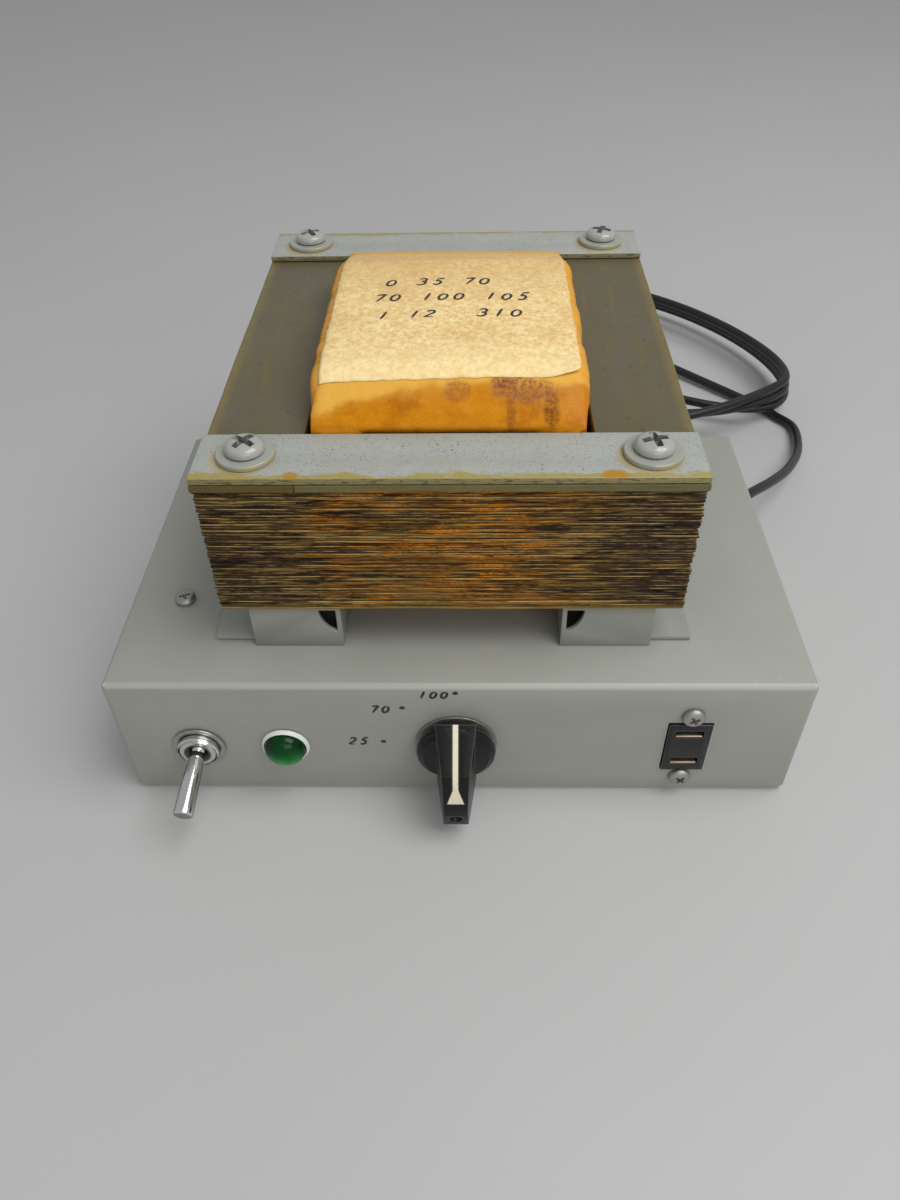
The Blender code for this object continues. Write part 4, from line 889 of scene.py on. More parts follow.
def edge_wave(point, layer):
    """How far a strip's edge lies in from the stack's face at a point, in mm."""
    place = point.to_3d()
    slow = ragged(place, 26.0, 3.7 * layer)
    quick = ragged(place, 6.0, 1.9 * layer + 7)
    return 0.26 + 0.22 * slow + 0.08 * quick


def window_share(point, side):
    """For a side facing the window: 0 in the corner joints, 1 well inside the window."""
    if side in (0, 2):
        inside = min(point.x - CORE_LOW.x, CORE_HIGH.x - point.x) - LIMB_WIDTH
    else:
        inside = min(point.y - CORE_LOW.y, CORE_HIGH.y - point.y) - YOKE_WIDTH
    return min(max(inside / WINDOW_RAMP, 0.0), 1.0)


def strip_outline(member, low, high, shifts, layer, joined):
    """Points round a strip with their inward directions; a joint side stays straight."""
    corners = [(low.x, low.y), (high.x, low.y), (high.x, high.y), (low.x, high.y)]
    outline = []
    for side in range(4):
        start = Vector(corners[side])
        end = Vector(corners[(side + 1) % 4])
        count = max(1, round((end - start).length / STEP_ALONG))
        for i in range(count):
            point = start.lerp(end, i / count)
            touching = [side] if i else [side, (side - 1) % 4]
            free = [number for number in touching if number != joined]
            moved = point.copy()
            inward = Vector((0, 0))
            for number in free:
                share = window_share(point, number) if number == WINDOW_SIDE[member] else 1.0
                moved += INWARD[number] * share * (shifts[number] + edge_wave(point, layer)) * MM
                inward += INWARD[number] * share
            outline.append((moved, inward))
    return outline


def seam_shift(point, boundary):
    """How far the seam under or over a strip wanders up or down at a point."""
    if boundary in (0, STRIP_COUNT, STRIP_COUNT + 1):
        return 0.0
    place = point.to_3d()
    wander = ragged(place, 24.0, 2.3 * boundary) + 0.5 * ragged(place, 7.0, 4.1 * boundary)
    return 0.17 * MM * wander


def seam_gap(point, boundary):
    """Half the open gap at a seam: every second seam is wide in places."""
    spread = 0.5 + 0.8 * ragged(point.to_3d(), 12.0, 1.3 * boundary + 40)
    widest = 0.23 if boundary % 2 else 0.08
    return MM * (0.02 + widest * min(max(spread, 0.0), 1.0))


def add_strip(shape, outline, layer, level, tone, layers):
    """One strip with chamfered edges; its tone and how near an edge is are kept, the edge value
    1 at its underside for painted shade and -1 at its upper corner for painted highlight.
    """
    bottom, top = level
    tone_layer, edge_layer = layers
    thickness = top - bottom
    chamfer = min(0.24 * MM, 0.26 * thickness)
    rings = [[] for _ in range(4)]
    for point, inward in outline:
        low = bottom + seam_shift(point, layer) + seam_gap(point, layer)
        high = top + seam_shift(point, layer + 1) - seam_gap(point, layer + 1)
        if layer == STRIP_COUNT:
            high = top
        if layer == 0:
            low = bottom
        steps = (
            (low, 1.6 * chamfer, 1.0),
            (low + chamfer, 0.0, 0.15),
            (high - 0.7 * chamfer, 0.0, -0.15),
            (high, 1.2 * chamfer, -1.0),
        )
        for ring, (height, inset, edge) in zip(rings, steps):
            place = point + inward * inset
            vertex = shape.verts.new((place.x, place.y, height))
            vertex[tone_layer] = tone
            vertex[edge_layer] = edge
            ring.append(vertex)
    bridge(shape, rings)
    shape.faces.new(rings[-1])
    shape.faces.new(rings[0][::-1])


def face_shifts(levels):
    """How far each layer stands back from the stack's four faces, in mm."""
    dice = random.Random(29)
    shifts = [[dice.uniform(0.0, 0.35) for _ in range(4)] for _ in levels]
    for layer in shifts:
        if dice.random() < 0.22:
            layer[dice.randrange(4)] += dice.uniform(0.2, 0.5)
    shifts[-1] = [-0.30] * 4
    return shifts


def make_core(material):
    """Four members of interleaved strips, each standing for its CAD node."""
    nodes = {
        "front": "core_yoke_front",
        "rear": "core_yoke_rear",
        "left": "core_limb_left",
        "right": "core_limb_right",
    }
    levels = strip_levels()
    shifts = face_shifts(levels)
    for order, (member, node) in enumerate(nodes.items()):
        tones = random.Random(101 + order)
        shape = bmesh.new()
        layers = [shape.verts.layers.float.new(name) for name in ("tone", "edge")]
        for layer, level in enumerate(levels):
            turn = layer % 2 == STRIP_COUNT % 2
            gap = 0.20 * MM if layer == STRIP_COUNT else 0.02 * MM
            low, high = strip_reach(member, turn, gap)
            joined = joined_side(member, turn)
            outline = strip_outline(member, low, high, shifts[layer], layer, joined)
            add_strip(shape, outline, layer, level, tones.random(), layers)
        mesh = mesh_of(node + "_strips", shape, 30)
        add_piece(node + "_strips", mesh, [material], nodes=[node])


# Coil


COIL_HALF_X = (COIL_HIGH.x - COIL_LOW.x) / 2
COIL_CROWN = 1.0 * MM
COIL_SHOULDER = (COIL_HIGH.z - COIL_LOW.z) / 2 - COIL_CROWN
COIL_CORNER = 4.5 * MM
COIL_FRONT_RAMP = 17.0 * MM
COIL_REAR_RAMP = 34.0 * MM
COIL_END_BULGE = 0.16
COIL_END_WAIST = 0.11
FORMER_HALF = 23.8 * MM
COIL_POINTS_ROUND = 240
COIL_ROWS_ALONG = 190
LABEL_COLUMNS = 84
LABEL_ROWS = 110


def swell_at(y):
    """How far the coil swells out of the core at y: a small share at its ends, then 1."""
    front = min(max((y - COIL_LOW.y) / COIL_FRONT_RAMP, 0.0), 1.0)
    rear = min(max((COIL_HIGH.y - y) / COIL_REAR_RAMP, 0.0), 1.0)
    rise = min(1 - (1 - front) ** 1.7, 1 - (1 - rear) ** 1.15)
    return COIL_END_BULGE + (1 - COIL_END_BULGE) * rise


def beyond_former(value, scale):
    """The value, with what it has beyond the former on either side scaled."""
    if abs(value) <= FORMER_HALF:
        return value
    return math.copysign(FORMER_HALF + (abs(value) - FORMER_HALF) * scale, value)


def coil_place(x, z, y):
    """Where a point of the full section, measured from its middle, lies at y."""
    return Vector(
        (
            CORE_CENTRE.x + beyond_former(x, waist_at(y)),
            y,
            CORE_CENTRE.z + beyond_former(z, swell_at(y)),
        )
    )


def waist_at(y):
    """How much narrower the coil is at y than at its middle."""
    return 1 - COIL_END_WAIST * (1 - swell_at(y))


def section_height(x):
    """Half height of the full section at x."""
    height = COIL_SHOULDER + COIL_CROWN * (1 - (x / COIL_HALF_X) ** 2)
    over = abs(x) - (COIL_HALF_X - COIL_CORNER)
    if over > 0:
        height -= COIL_CORNER - math.sqrt(max(0.0, COIL_CORNER**2 - over**2))
    return height


def section_loop():
    """Points round the full section, close together but unevenly spaced."""
    flat = COIL_HALF_X - COIL_CORNER
    quarter = [(flat * i / 120, section_height(flat * i / 120)) for i in range(120)]
    for i in range(31):
        x = flat + COIL_CORNER * math.sin(math.pi / 2 * i / 30)
        quarter.append((x, section_height(x)))
    foot = quarter[-1][1]
    quarter += [(COIL_HALF_X, foot * (1 - i / 120)) for i in range(1, 121)]
    loop = quarter[:-1]
    loop += [(x, -z) for x, z in reversed(quarter[1:])]
    loop += [(-x, -z) for x, z in quarter[:-1]]
    loop += [(-x, z) for x, z in reversed(quarter[1:])]
    return [Vector(point) for point in loop]


def coil_section(count):
    """Points evenly spaced round the full section."""
    points = section_loop()
    ends = points[1:] + points[:1]
    spacing = sum((end - start).length for start, end in zip(points, ends)) / count
    spaced = []
    walked = 0.0
    for start, end in zip(points, ends):
        length = (end - start).length
        while len(spaced) < count and len(spaced) * spacing <= walked + length:
            share = (len(spaced) * spacing - walked) / max(length, 1e-12)
            spaced.append(start.lerp(end, share))
        walked += length
    return spaced


def dent_at(point):
    """Soft dents and swellings of the paper, in mm."""
    return 0.24 * ragged(point, 14.0, 3.1) + 0.09 * ragged(point, 5.0, 8.7) - 0.12


def pleat_at(point):
    """Sharp folds, in mm: along the shoulders, and where the front slope turns down."""
    shoulder = 1 - abs(abs(point.x - CORE_CENTRE.x) - COIL_HALF_X) / (9 * MM)
    front = 1 - (point.y - COIL_LOW.y) / (12 * MM)
    folds = 0.0
    for seed, size, depth in ((5.3, 9.0, 0.75), (9.1, 4.5, 0.35)):
        across = ragged(Vector((0.6 * point.x, point.y, 0.30 * point.z)), size, seed)
        folds += depth * max(0.0, 1 - 7 * abs(across))
    down = ragged(Vector((point.x, 0.25 * point.y, 0.25 * point.z)), 10.0, 4.2)
    down_folds = 0.28 * max(0.0, 1 - 9 * abs(down))
    return -folds * max(0.0, shoulder) - down_folds * max(0.0, front)


def shoulder_step(point):
    """Laps of the paper that end near the shoulders, in mm."""
    lap = 0.0
    for side, start, finish, height in (
        (1, 6.0, 52.0, 0.28),
        (1, 44.0, 90.0, 0.22),
        (-1, -2.0, 30.0, 0.24),
        (-1, 36.0, 90.0, 0.20),
    ):
        if side * (point.x - CORE_CENTRE.x) < 0.955 * COIL_HALF_X * waist_at(point.y):
            continue
        place = (point.y - COIL_LOW.y) / MM + 1.2 * ragged(point, 6.0, start)
        if start < place < finish:
            lap += height
    return lap


def paper_ring(shape, section, y):
    """The paper's line round the coil at y, with its dents, pleats and laps."""
    places = [coil_place(point.x, point.y, y) for point in section]
    ring = []
    for i, place in enumerate(places):
        ahead = places[(i + 1) % len(places)] - places[i - 1]
        outward = Vector((-ahead.z, 0, ahead.x)).normalized()
        if outward.dot(place - CORE_CENTRE) < 0:
            outward = -outward
        rise = dent_at(place) + pleat_at(place) + shoulder_step(place)
        ring.append(shape.verts.new(place + outward * rise * MM))
    return ring


def folded_end(shape, ring, y):
    """The inner rim of an end, where the paper is folded in as far as the former."""
    rim = []
    for vertex in ring:
        across = vertex.co - CORE_CENTRE
        inward = min(1.0, FORMER_HALF / max(abs(across.x), abs(across.z)))
        x = CORE_CENTRE.x + across.x * inward
        rim.append(shape.verts.new((x, y, CORE_CENTRE.z + across.z * inward)))
    return rim


def add_paper(node, mesh, material, thickness, offset):
    """A sheet of paper for a CAD node, given its thickness in mm by a modifier."""
    obj = add_piece(node + "_paper", mesh, [material], nodes=[node])
    sheet = obj.modifiers.new("paper", "SOLIDIFY")
    sheet.thickness = thickness * MM
    sheet.offset = offset


def make_coil_wrap(material):
    """The paper wrap, folded in at both ends, with dents, pleats and laps."""
    section = coil_section(COIL_POINTS_ROUND)
    length = COIL_HIGH.y - COIL_LOW.y
    shape = bmesh.new()
    rings = []
    for j in range(COIL_ROWS_ALONG + 1):
        y = COIL_LOW.y + length * j / COIL_ROWS_ALONG
        rings.append(paper_ring(shape, section, y))
    rings.insert(0, folded_end(shape, rings[0], COIL_LOW.y))
    rings.append(folded_end(shape, rings[-1], COIL_HIGH.y))
    bridge(shape, rings)
    mesh = mesh_of("coil_wrap_paper", shape, 60)
    add_paper("coil_wrap", mesh, material, 0.5, -1.0)


def label_point(across, along, out=0.0):
    """A point on the label: across from -1 to 1, along from 0 at its front to 1."""
    half = (LABEL_HIGH.x - LABEL_LOW.x) / 2
    front, rear = LABEL_LOW.y, LABEL_HIGH.y
    skew = (0.6 + 0.5 * across) * MM
    y = front + (rear - front) * along + skew * (1 - along)
    fray = 0.35 * ragged((0.0, y, 0.02), 5.0, 2.2 + across) * MM
    section_x = across * half + fray * abs(across) ** 8
    if along < 0.02:
        y += 0.22 * MM * ragged((across * half, 0.0, 0.0), 3.5, 4.4)
    place = coil_place(section_x, section_height(section_x), y)
    corner = max(0.0, across - 0.72) / 0.28 * max(0.0, 1 - along / 0.10)
    lift = 0.12 + 1.5 * corner**1.5 + 0.10 * max(0.0, ragged(place, 9.0, 6.6))
    place.z += (dent_at(place) + lift + out) * MM
    return place


def label_row(shape, j):
    """One line of the label's points; the front right corner is cut round."""
    row = []
    for i in range(LABEL_COLUMNS + 1):
        across = 2 * i / LABEL_COLUMNS - 1
        reach = max(0.0, across - 0.70) / 0.30
        cut_back = 0.032 * (1 - math.sqrt(max(0.0, 1 - reach * reach)))
        along = cut_back + (1 - cut_back) * j / LABEL_ROWS
        row.append(shape.verts.new(label_point(across, along)))
    return row


def make_label(material):
    """The glued label: a little crooked, its front right corner rounded and lifted."""
    shape = bmesh.new()
    rows = [label_row(shape, j) for j in range(LABEL_ROWS + 1)]
    bridge(shape, rows, closed=False)
    mesh = mesh_of("coil_label_paper", shape, 50)
    add_paper("coil_label", mesh, material, 0.12, 1.0)


# Handwritten numerals: each row is a text, its lower left corner and its size in mm


INK_WIDTH = 0.72
LABEL_NUMBERS = (
    ("0 35 70", (-21.0, 53.0), 4.6),
    ("70 100 105", (-24.0, 42.5), 4.6),
    ("1 12", (-22.0, 31.0), 4.4),
    ("310", (7.0, 31.5), 4.8),
)
DIAL_NUMBERS = (
    ("100", (-10.9, 20.1), 3.0),
    ("70", (-25.5, 13.6), 3.2),
    ("25", (-33.2, -1.4), 3.2),
)
DIAL_REACH = 22.3
DIAL_STOPS = (0, 45, 90)


def digit_strokes(digit):
    """A numeral's pen strokes in a unit box, as lists of points."""

    def curve(centre_x, centre_y, radius_x, radius_y, start, end, steps=14):
        return [
            (
                centre_x + radius_x * math.cos(math.radians(start + (end - start) * i / steps)),
                centre_y + radius_y * math.sin(math.radians(start + (end - start) * i / steps)),
            )
            for i in range(steps + 1)
        ]

    strokes = {
        "0": [curve(0.45, 0.45, 0.36, 0.42, 80, 440, 20)],
        "1": [[(0.40, 0.0), (0.52, 1.0)]],
        "2": [curve(0.42, 0.70, 0.34, 0.28, 160, -45) + [(0.05, 0.04), (0.85, 0.02)]],
        "3": [curve(0.42, 0.74, 0.32, 0.24, 150, -80) + curve(0.42, 0.28, 0.38, 0.28, 80, -150)],
        "5": [
            [(0.36, 0.95), (0.25, 0.55)] + curve(0.40, 0.32, 0.36, 0.30, 110, -140),
            [(0.36, 0.95), (0.88, 1.0)],
        ],
        "7": [[(0.08, 0.88), (0.85, 0.96), (0.38, 0.0)]],
    }
    return strokes[digit]


def text_strokes(text, origin, size, gap=0.30, slant=0.25):
    """Strokes of a row of numerals, from its lower left corner, in plane units."""
    strokes = []
    for i, character in enumerate(text):
        if character == " ":
            continue
        left = origin[0] + i * size * (0.75 + gap)
        for stroke in digit_strokes(character):
            strokes.append(
                [
                    (left + size * (0.75 * x + slant * y), origin[1] + size * y)
                    for x, y in stroke
                ]
            )
    return strokes


def ink_mesh(name, strokes, width, place_on):
    """Flat pen lines, each a ribbon on the surface that place_on(u, v) gives."""
    shape = bmesh.new()
    for stroke in strokes:
        points = []
        for start, end in zip(stroke, stroke[1:]):
            points += [
                (start[0] + (end[0] - start[0]) * i / 4, start[1] + (end[1] - start[1]) * i / 4)
                for i in range(4)
            ]
        points.append(stroke[-1])
        sides = []
        for i, (u, v) in enumerate(points):
            ahead = points[min(i + 1, len(points) - 1)]
            behind = points[max(i - 1, 0)]
            along = Vector((ahead[0] - behind[0], ahead[1] - behind[1])).normalized()
            end_share = min(i, len(points) - 1 - i) / len(points)
            half = width / 2 * (0.65 + min(end_share * 3, 0.5))
            across = Vector((-along.y, along.x)) * half
            sides.append(
                (
                    shape.verts.new(place_on(u - across.x, v - across.y)),
                    shape.verts.new(place_on(u + across.x, v + across.y)),
                )
            )
        for first, second in zip(sides, sides[1:]):
            shape.faces.new((first[0], second[0], second[1], first[1]))
    return mesh_of(name, shape, 60)


def row_strokes(rows):
    """The strokes of several rows, each a text, its lower left corner and its size."""
    strokes = []
    for text, origin, size in rows:
        strokes += text_strokes(text, origin, size)
    return strokes


def make_label_ink(material):
    """Tap numbers written on the label with a pen."""
    half = (LABEL_HIGH.x - LABEL_LOW.x) / 2
    length = LABEL_HIGH.y - LABEL_LOW.y

    def on_label(u, v):
        return label_point(u * MM / half, v * MM / length, 0.20)

    mesh = ink_mesh("label_numbers", row_strokes(LABEL_NUMBERS), INK_WIDTH, on_label)
    add_piece("label_numbers", mesh, [material])


def make_dial(material):
    """Three dots for the knob's stops, and their hand-lettered numbers."""
    shaft = middle_of("selector_shaft") / MM

    def on_panel(u, v):
        return Vector(((shaft.x + u) * MM, FRONT_Y - 0.03 * MM, (shaft.z + v) * MM))

    shape = bmesh.new()
    for stop in DIAL_STOPS:
        u = DIAL_REACH * math.cos(math.radians(90 + stop))
        v = DIAL_REACH * math.sin(math.radians(90 + stop))
        rim = []
        for angle in range(0, 360, 20):
            right = u + 0.85 * math.cos(math.radians(angle))
            up = v + 0.75 * math.sin(math.radians(angle))
            rim.append(shape.verts.new(on_panel(right, up)))
        shape.faces.new(rim)
    add_piece("dial_dots", mesh_of("dial_dots", shape), [material])
    mesh = ink_mesh("dial_numbers", row_strokes(DIAL_NUMBERS), INK_WIDTH, on_panel)
    add_piece("dial_numbers", mesh, [material])


# Fasteners


BOLT_HEIGHT = 3.2
WASHER_BORE = 2.8
WASHER_SINK = 0.25 * MM


def pan_head(name, radius, height):
    """A pan head as wide as 2 radius mm, standing on its flat side."""
    rim = 0.18 * height
    profile = [(0.0, height)]
    for angle in (8, 16, 26, 36, 46, 56, 66, 76, 84, 90):
        sine = math.sin(math.radians(angle))
        cosine = max(math.cos(math.radians(angle)), 0.0)
        profile.append((radius * sine**0.74, rim + (height - rim) * cosine**0.74))
    profile += [(radius, 0.12 * height), (radius - 0.12 * height, 0.0), (0.0, 0.0)]
    return lathe(name, profile, 64, crease=50)


def cross_recess(radius, height, turn, spread):
    """The four tapered arms of a driver's recess, to be cut out of a pan head."""
    shape = bmesh.new()
    for quarter in range(4):
        arm = bmesh.ops.create_cone(
            shape,
            cap_ends=True,
            segments=4,
            radius1=0.08 * spread * radius * MM,
            radius2=0.20 * spread * radius * MM,
            depth=0.62 * height * MM,
        )["verts"]
        bmesh.ops.rotate(shape, verts=arm, matrix=Matrix.Rotation(math.pi / 4, 3, "Z"))
        bmesh.ops.scale(shape, verts=arm, vec=(3.1, 1.3, 1.0))
        bmesh.ops.translate(shape, verts=arm, vec=(0.20 * spread * radius * MM, 0, 0))
        bmesh.ops.rotate(shape, verts=arm, matrix=Matrix.Rotation(quarter * math.pi / 2, 3, "Z"))
    bmesh.ops.rotate(shape, verts=shape.verts, matrix=Matrix.Rotation(turn, 3, "Z"))
    bmesh.ops.translate(shape, verts=shape.verts, vec=(0, 0, 0.86 * height * MM))
    return mesh_of("recess", shape)


def bolt_mesh(name, radius, height, turn, paint, metal, spread=1.25):
    """A pan head with a cross recess, spread times as wide, whose inside shows bare metal."""
    head = linked(name, pan_head(name, radius, height))
    head.data.materials.append(paint)
    cutter = linked("recess", cross_recess(radius, height, turn, spread))
    cutter.data.materials.append(metal)
    modifier = head.modifiers.new("recess", "BOOLEAN")
    modifier.object = cutter
    modifier.operation = "DIFFERENCE"
    modifier.solver = "EXACT"
    modifier.use_self = True
    modifier.material_mode = "TRANSFER"
    mesh = baked(head)
    bpy.data.objects.remove(cutter, do_unlink=True)
    return smoothed(mesh, 50)


def seat_of(node, axis=2, side=-1):
    """The centre of a node's box, on its lowest or highest face along an axis."""
    low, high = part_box(node)
    seat = (low + high) / 2
    seat[axis] = low[axis] if side < 0 else high[axis]
    return seat


def add_bolt(node, turn, paint, metal):
    """The domed head of a clamp bolt, level with the CAD bolt's top."""
    mesh = bolt_mesh(node + "_head", 5.3, BOLT_HEIGHT, turn, paint, metal)
    place = Matrix.Translation(seat_of(node, side=1) - Vector((0, 0, BOLT_HEIGHT * MM)))
    add_piece(node + "_head", mesh, [], nodes=[node], place=place)


def add_washer(node, paint):
    """A washer with a rounded rim, sunk a little way into the paint under it."""
    low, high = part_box(node)
    thick = (high.z - low.z) / MM + 0.28
    radius = radius_of(node)
    profile = arc((radius - 0.45, thick - 0.45), 0.45, 90, 0)
    profile += arc((radius - 0.3, 0.3), 0.3, 0, -90, 3)
    profile += [(WASHER_BORE, 0.0), (WASHER_BORE, thick)]
    name = node + "_ring"
    mesh = lathe(name, profile, 72, closed=True)
    place = Matrix.Translation(seat_of(node) - Vector((0, 0, WASHER_SINK)))
    add_piece(name, mesh, [paint], nodes=[node], place=place)


def make_bolts(paint, washer_material, metal):
    """Clamp bolt heads and washers, each turned its own way."""
    turns = {"front_left": 0.95, "front_right": 0.25, "rear_left": 0.55, "rear_right": 1.2}
    for corner, turn in turns.items():
        add_bolt(f"clamp_bolt_{corner}", turn, paint, metal)
        add_washer(f"clamp_washer_{corner}", washer_material)


def make_small_screws(zinc, metal):
    """Foot, outlet and tag strip screws with the same recessed pan head."""
    upright = ["tag_strip_screw"] + [
        f"foot_screw_{side}_{end}" for side in ("left", "right") for end in ("front", "rear")
    ]
    for i, node in enumerate(upright):
        radius = radius_of(node)
        height = 0.62 * radius
        mesh = bolt_mesh(node + "_head", radius, height, 0.4 + 0.7 * i, zinc, metal, 1.0)
        place = Matrix.Translation(seat_of(node, side=1) - Vector((0, 0, height * MM)))
        add_piece(node + "_head", mesh, [], nodes=[node], place=place)
    for i, end in enumerate(("upper", "lower")):
        node = f"outlet_screw_{end}"
        radius = radius_of(node)
        height = 0.64 * radius
        mesh = bolt_mesh(node + "_head", radius, height, 0.5 + 0.4 * i, zinc, metal, 0.9)
        seat = seat_of(node, axis=1) + Vector((0, height * MM, 0))
        place = Matrix.Translation(seat) @ OUT_OF_PANEL
        add_piece(node + "_head", mesh, [], nodes=[node], place=place)


# Panel controls


LENS_STEP_TOP = 1.6
LENS_FOOT = 0.9
LEVER_LENGTH = 22.3
LEVER_HANG = 13.5
LEVER_LEAN = 15.0
PIVOT_BEHIND_PANEL = 0.8 * MM


def make_lamp(white, green):
    """Rounded bezel ring and a domed lens that rises from a short straight foot."""
    centre = middle_of("lamp_lens")
    dome = (FRONT_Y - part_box("lamp_lens")[0].y) / MM - LENS_STEP_TOP
    centre.y = FRONT_Y
    lens = radius_of("lamp_lens")
    profile = []
    for angle in range(0, 91, 5):
        turn = math.radians(angle)
        profile.append((lens * math.sin(turn), LENS_STEP_TOP + dome * math.cos(turn)))
    profile += [(lens, LENS_FOOT), (0.0, LENS_FOOT)]
    mesh = lathe("lamp_lens_dome", profile, 96)
    place = Matrix.Translation(centre) @ OUT_OF_PANEL
    add_piece("lamp_lens_dome", mesh, [green], nodes=["lamp_lens"], place=place)
    refined("lamp_housing", white, 0.25, 3)


def make_toggle_lever(chrome):
    """The bat lever: a straight bright shaft with a flat tip, on its pivot ball.

    At rest it hangs LEVER_HANG degrees below straight out of the panel, half of its
    throw, and its plane of swing leans LEVER_LEAN degrees from upright.
    """
    pivot = middle_of("toggle_body")
    pivot.y = FRONT_Y - PIVOT_BEHIND_PANEL
    profile = [(0.0, LEVER_LENGTH), (2.3, LEVER_LENGTH)]
    profile += arc((2.3, LEVER_LENGTH - 0.65), 0.65, 90, 0, 5)
    profile += [(2.95, LEVER_LENGTH - 2.0), (2.8, 14.0), (2.55, 8.0), (2.3, 4.6), (2.1, 3.4)]
    profile += arc((0.0, 0.0), 2.7, 48, -50, 10)
    profile += [(1.4, -3.0), (1.4, -8.0), (0.0, -8.5)]
    hang = Matrix.Rotation(math.pi / 2 + math.radians(LEVER_HANG), 4, "X")
    lean = Matrix.Rotation(math.radians(LEVER_LEAN), 4, "Y")
    place = Matrix.Translation(pivot) @ lean @ hang
    body = frame["nodes"]["toggle_lever"]["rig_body"]
    mesh = lathe("toggle_lever_bat", profile, 72)
    add_piece("toggle_lever_bat", mesh, [chrome], body, ["toggle_lever"], place)


def make_cord(material):
    """The flex, rounded from the CAD tube."""
    helper = linked("helper", mesh_of("mains_cord_flex", welded("mains_cord"), 80))
    helper.data.materials.clear()
    rounding = helper.modifiers.new("rounding", "SUBSURF")
    rounding.levels = 2
    rounding.render_levels = 2
    fuller = helper.modifiers.new("fuller", "DISPLACE")
    fuller.strength = 0.12 * MM
    fuller.mid_level = 0.0
    mesh = baked(helper)
    mesh.shade_smooth()
    add_piece("mains_cord_flex", mesh, [material], nodes=["mains_cord"])


# Stage


ROOM_STRENGTH = 0.41
KEY_POWER = 10.5
FILL_POWER = 2.4
CAMERA_PLACE = Vector((0.004668, -0.243457, 0.250906))
CAMERA_ANGLES = (43.054, -1.933, -1.373)
CAMERA_LENS = 27.92


def make_floor(material):
    """A table top that reaches past every edge of the picture."""
    shape = bmesh.new()
    half = 3.0
    corners = [(-half, -half), (half, -half), (half, half), (-half, half)]
    shape.faces.new([shape.verts.new((x, y + 0.5, 0)) for x, y in corners])
    mesh = mesh_of("table_top", shape)
    mesh.materials.append(material)
    linked("table_top", mesh)


def area_light(name, place, target, size, power):
    """A rectangular lamp that faces its target, with its power in watts."""
    data = bpy.data.lights.new(name, "AREA")
    data.shape = "RECTANGLE"
    data.size, data.size_y = size
    data.energy = power
    obj = linked(name, data)
    obj.location = place
    obj.rotation_euler = (Vector(target) - Vector(place)).to_track_quat("-Z", "Y").to_euler()


def make_lights():
    """A bright even room, a soft lamp above on the right and a weak one in front."""
    world = bpy.data.worlds.new("studio")
    world.use_nodes = True
    background = world.node_tree.nodes["Background"]
    background.inputs["Color"].default_value = (0.96, 0.98, 1.0, 1.0)
    background.inputs["Strength"].default_value = ROOM_STRENGTH
    bpy.context.scene.world = world
    area_light("key", (0.55, -0.25, 1.15), (0.05, -0.05, 0.0), (0.9, 0.9), KEY_POWER)
    area_light("fill", (0.30, -1.0, 0.55), (0.0, -0.05, 0.05), (0.8, 0.5), FILL_POWER)


def make_camera():
    """The photographed viewpoint: above and in front, turned and rolled very slightly."""
    pitch, yaw, roll = (math.radians(angle) for angle in CAMERA_ANGLES)
    ahead = math.cos(pitch)
    forward = Vector((math.sin(yaw) * ahead, math.cos(yaw) * ahead, -math.sin(pitch)))
    level = Vector((math.cos(yaw), -math.sin(yaw), 0))
    upward = level.cross(forward)
    right = math.cos(roll) * level + math.sin(roll) * upward
    up = math.cos(roll) * upward - math.sin(roll) * level
    turn = Matrix((right, up, -forward)).transposed().to_4x4()
    data = bpy.data.cameras.new("camera")
    data.sensor_width = 36.0
    data.lens = CAMERA_LENS
    camera = linked("camera", data)
    camera.matrix_world = Matrix.Translation(CAMERA_PLACE) @ turn
    bpy.context.scene.camera = camera


# The whole scene


STRAP_DRIPS = (
    (40.6, 1.2, (4.4, 3.0, 3.0), 0.95),
    (-42.0, 1.4, (2.6, 2.2, 3.0), 0.85),
)


def make_straps():
    """Both clamp straps; varnish has dripped on the front one, x mm along, y mm in."""
    edge = STRAP_LOW.y / MM
    top = STRAP_HIGH.z / MM
    drips = [((x, edge + y, top), radii, strength) for x, y, radii, strength in STRAP_DRIPS]
    for end, own_drips in (("front", drips), ("rear", [])):
        paint = strap_paint(end, own_drips)
        refined(f"clamp_strap_{end}", paint, 0.35, 3)


def metals():
    """The bare and plated metals, by what they are called here."""
    return {
        "zinc": plated("zinc_plate", srgb(172, 172, 164), 0.42),
        "dull": plated("dull_plate", srgb(146, 146, 136), 0.50, 0.5),
        "chrome": plated("chrome_plate", srgb(226, 226, 224), 0.12, 0.12, 0.85),
        "steel": plated("plain_steel", srgb(176, 174, 168), 0.30, 0.3),
        "brass": plated("contact_brass", srgb(216, 188, 164), 0.34, 0.3),
        "blued": plated("blued_steel", srgb(70, 68, 66), 0.35),
    }


def make_transformer(metal):
    """Core, straps, feet, fasteners and coil on the grey chassis."""
    grey = chassis_paint()
    refined("chassis_box", grey, crease=40)
    refined("bottom_cover", grey, 0.25)
    make_core(core_finish())
    make_straps()
    feet = foot_paint()
    for side in ("left", "right"):
        refined(f"foot_{side}", feet, 0.35, 3)
    make_bolts(bolt_paint(), washer_paint(), chipped_metal())
    make_small_screws(metal["zinc"], metal["dull"])
    make_coil_wrap(coil_finish())
    make_label(label_finish())
    make_label_ink(ink_finish("pen_ink", srgb(40, 36, 40)))


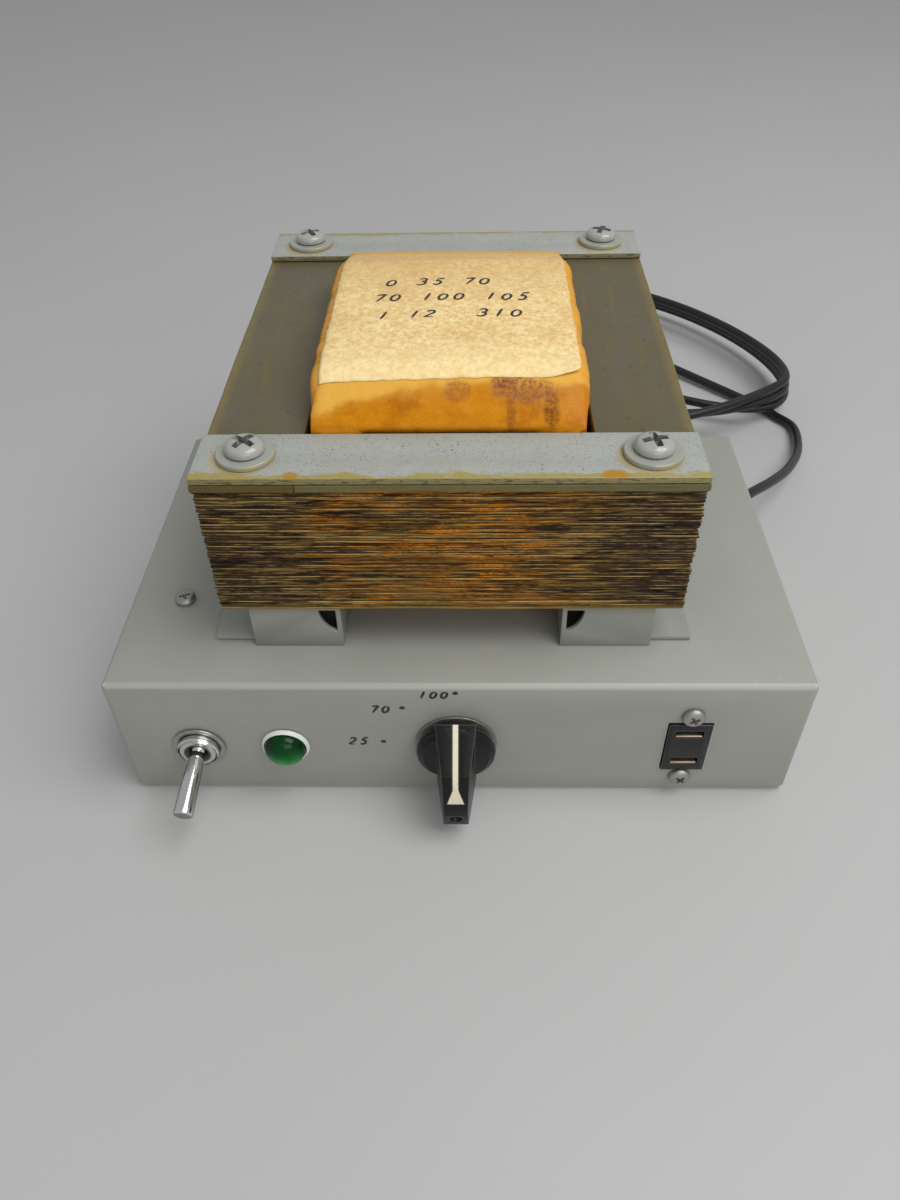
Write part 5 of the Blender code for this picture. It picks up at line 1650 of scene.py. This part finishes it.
def make_panel(metal):
    """Everything on the front: dial, toggle switch, lamp, selector knob and outlet."""
    make_dial(ink_finish("dial_ink", srgb(34, 34, 36)))
    refined("toggle_body", switch_body_finish(), 0.15)
    make_toggle_lever(metal["chrome"])
    refined("toggle_nut", metal["chrome"], 0.2)
    refined("toggle_washer", metal["steel"], 0.2)
    make_lamp(white_plastic(), lens_finish())
    knob = black_plastic("knob_plastic", 0.30, shine=0.28)
    refined("selector_knob", knob, 0.30, 3, crease=28)
    refined("knob_pointer", cream_inlay())
    refined("selector_nut", metal["dull"], 0.2)
    outlet = black_plastic("outlet_plastic", 0.22)
    refined("outlet_body", outlet, 0.30, 3)


def make_mains_lead(metal):
    """The flex, its plug and grommet, and the contacts of plug and outlet."""
    make_cord(cord_finish())
    rubber = black_plastic("plug_rubber", 0.42)
    for node in ("plug_body", "cord_grommet"):
        refined(node, rubber, 0.3)
    blades = ["plug_blade_front", "plug_blade_rear"]
    for node in blades + ["outlet_contact_upper", "outlet_contact_lower"]:
        refined(node, metal["brass"], 0.15)


def paint_node(node, material):
    """Gives a CAD node that stays a finished material."""
    obj = frame["nodes"][node]
    if not obj.data.materials:
        obj.data.materials.append(material)
    for slot in obj.material_slots:
        slot.material = material


def paint_inside(metal):
    """Materials for the CAD nodes that stay as they are, most of them hidden."""
    board = board_finish()
    for node in ("coil_former", "tag_strip", "tap_lead_sleeve"):
        paint_node(node, board)
    paint_node("winding", copper_finish())
    paint_node("core_limb_centre", metal["steel"])
    paint_node("selector_body", black_plastic("switch_plastic", 0.4))
    paint_node("selector_shaft", metal["steel"])
    paint_node("knob_set_screw", metal["blued"])
    for corner in ("front_left", "front_right", "rear_left", "rear_right"):
        paint_node(f"clamp_nut_{corner}", metal["zinc"])
        paint_node(f"cover_screw_{corner}", metal["zinc"])


def main():
    """Builds every piece and the stage round them."""
    metal = metals()
    make_transformer(metal)
    make_panel(metal)
    make_mains_lead(metal)
    paint_inside(metal)
    make_floor(floor_finish())
    make_lights()
    make_camera()
    bpy.context.scene.view_settings.view_transform = "Standard"


main()
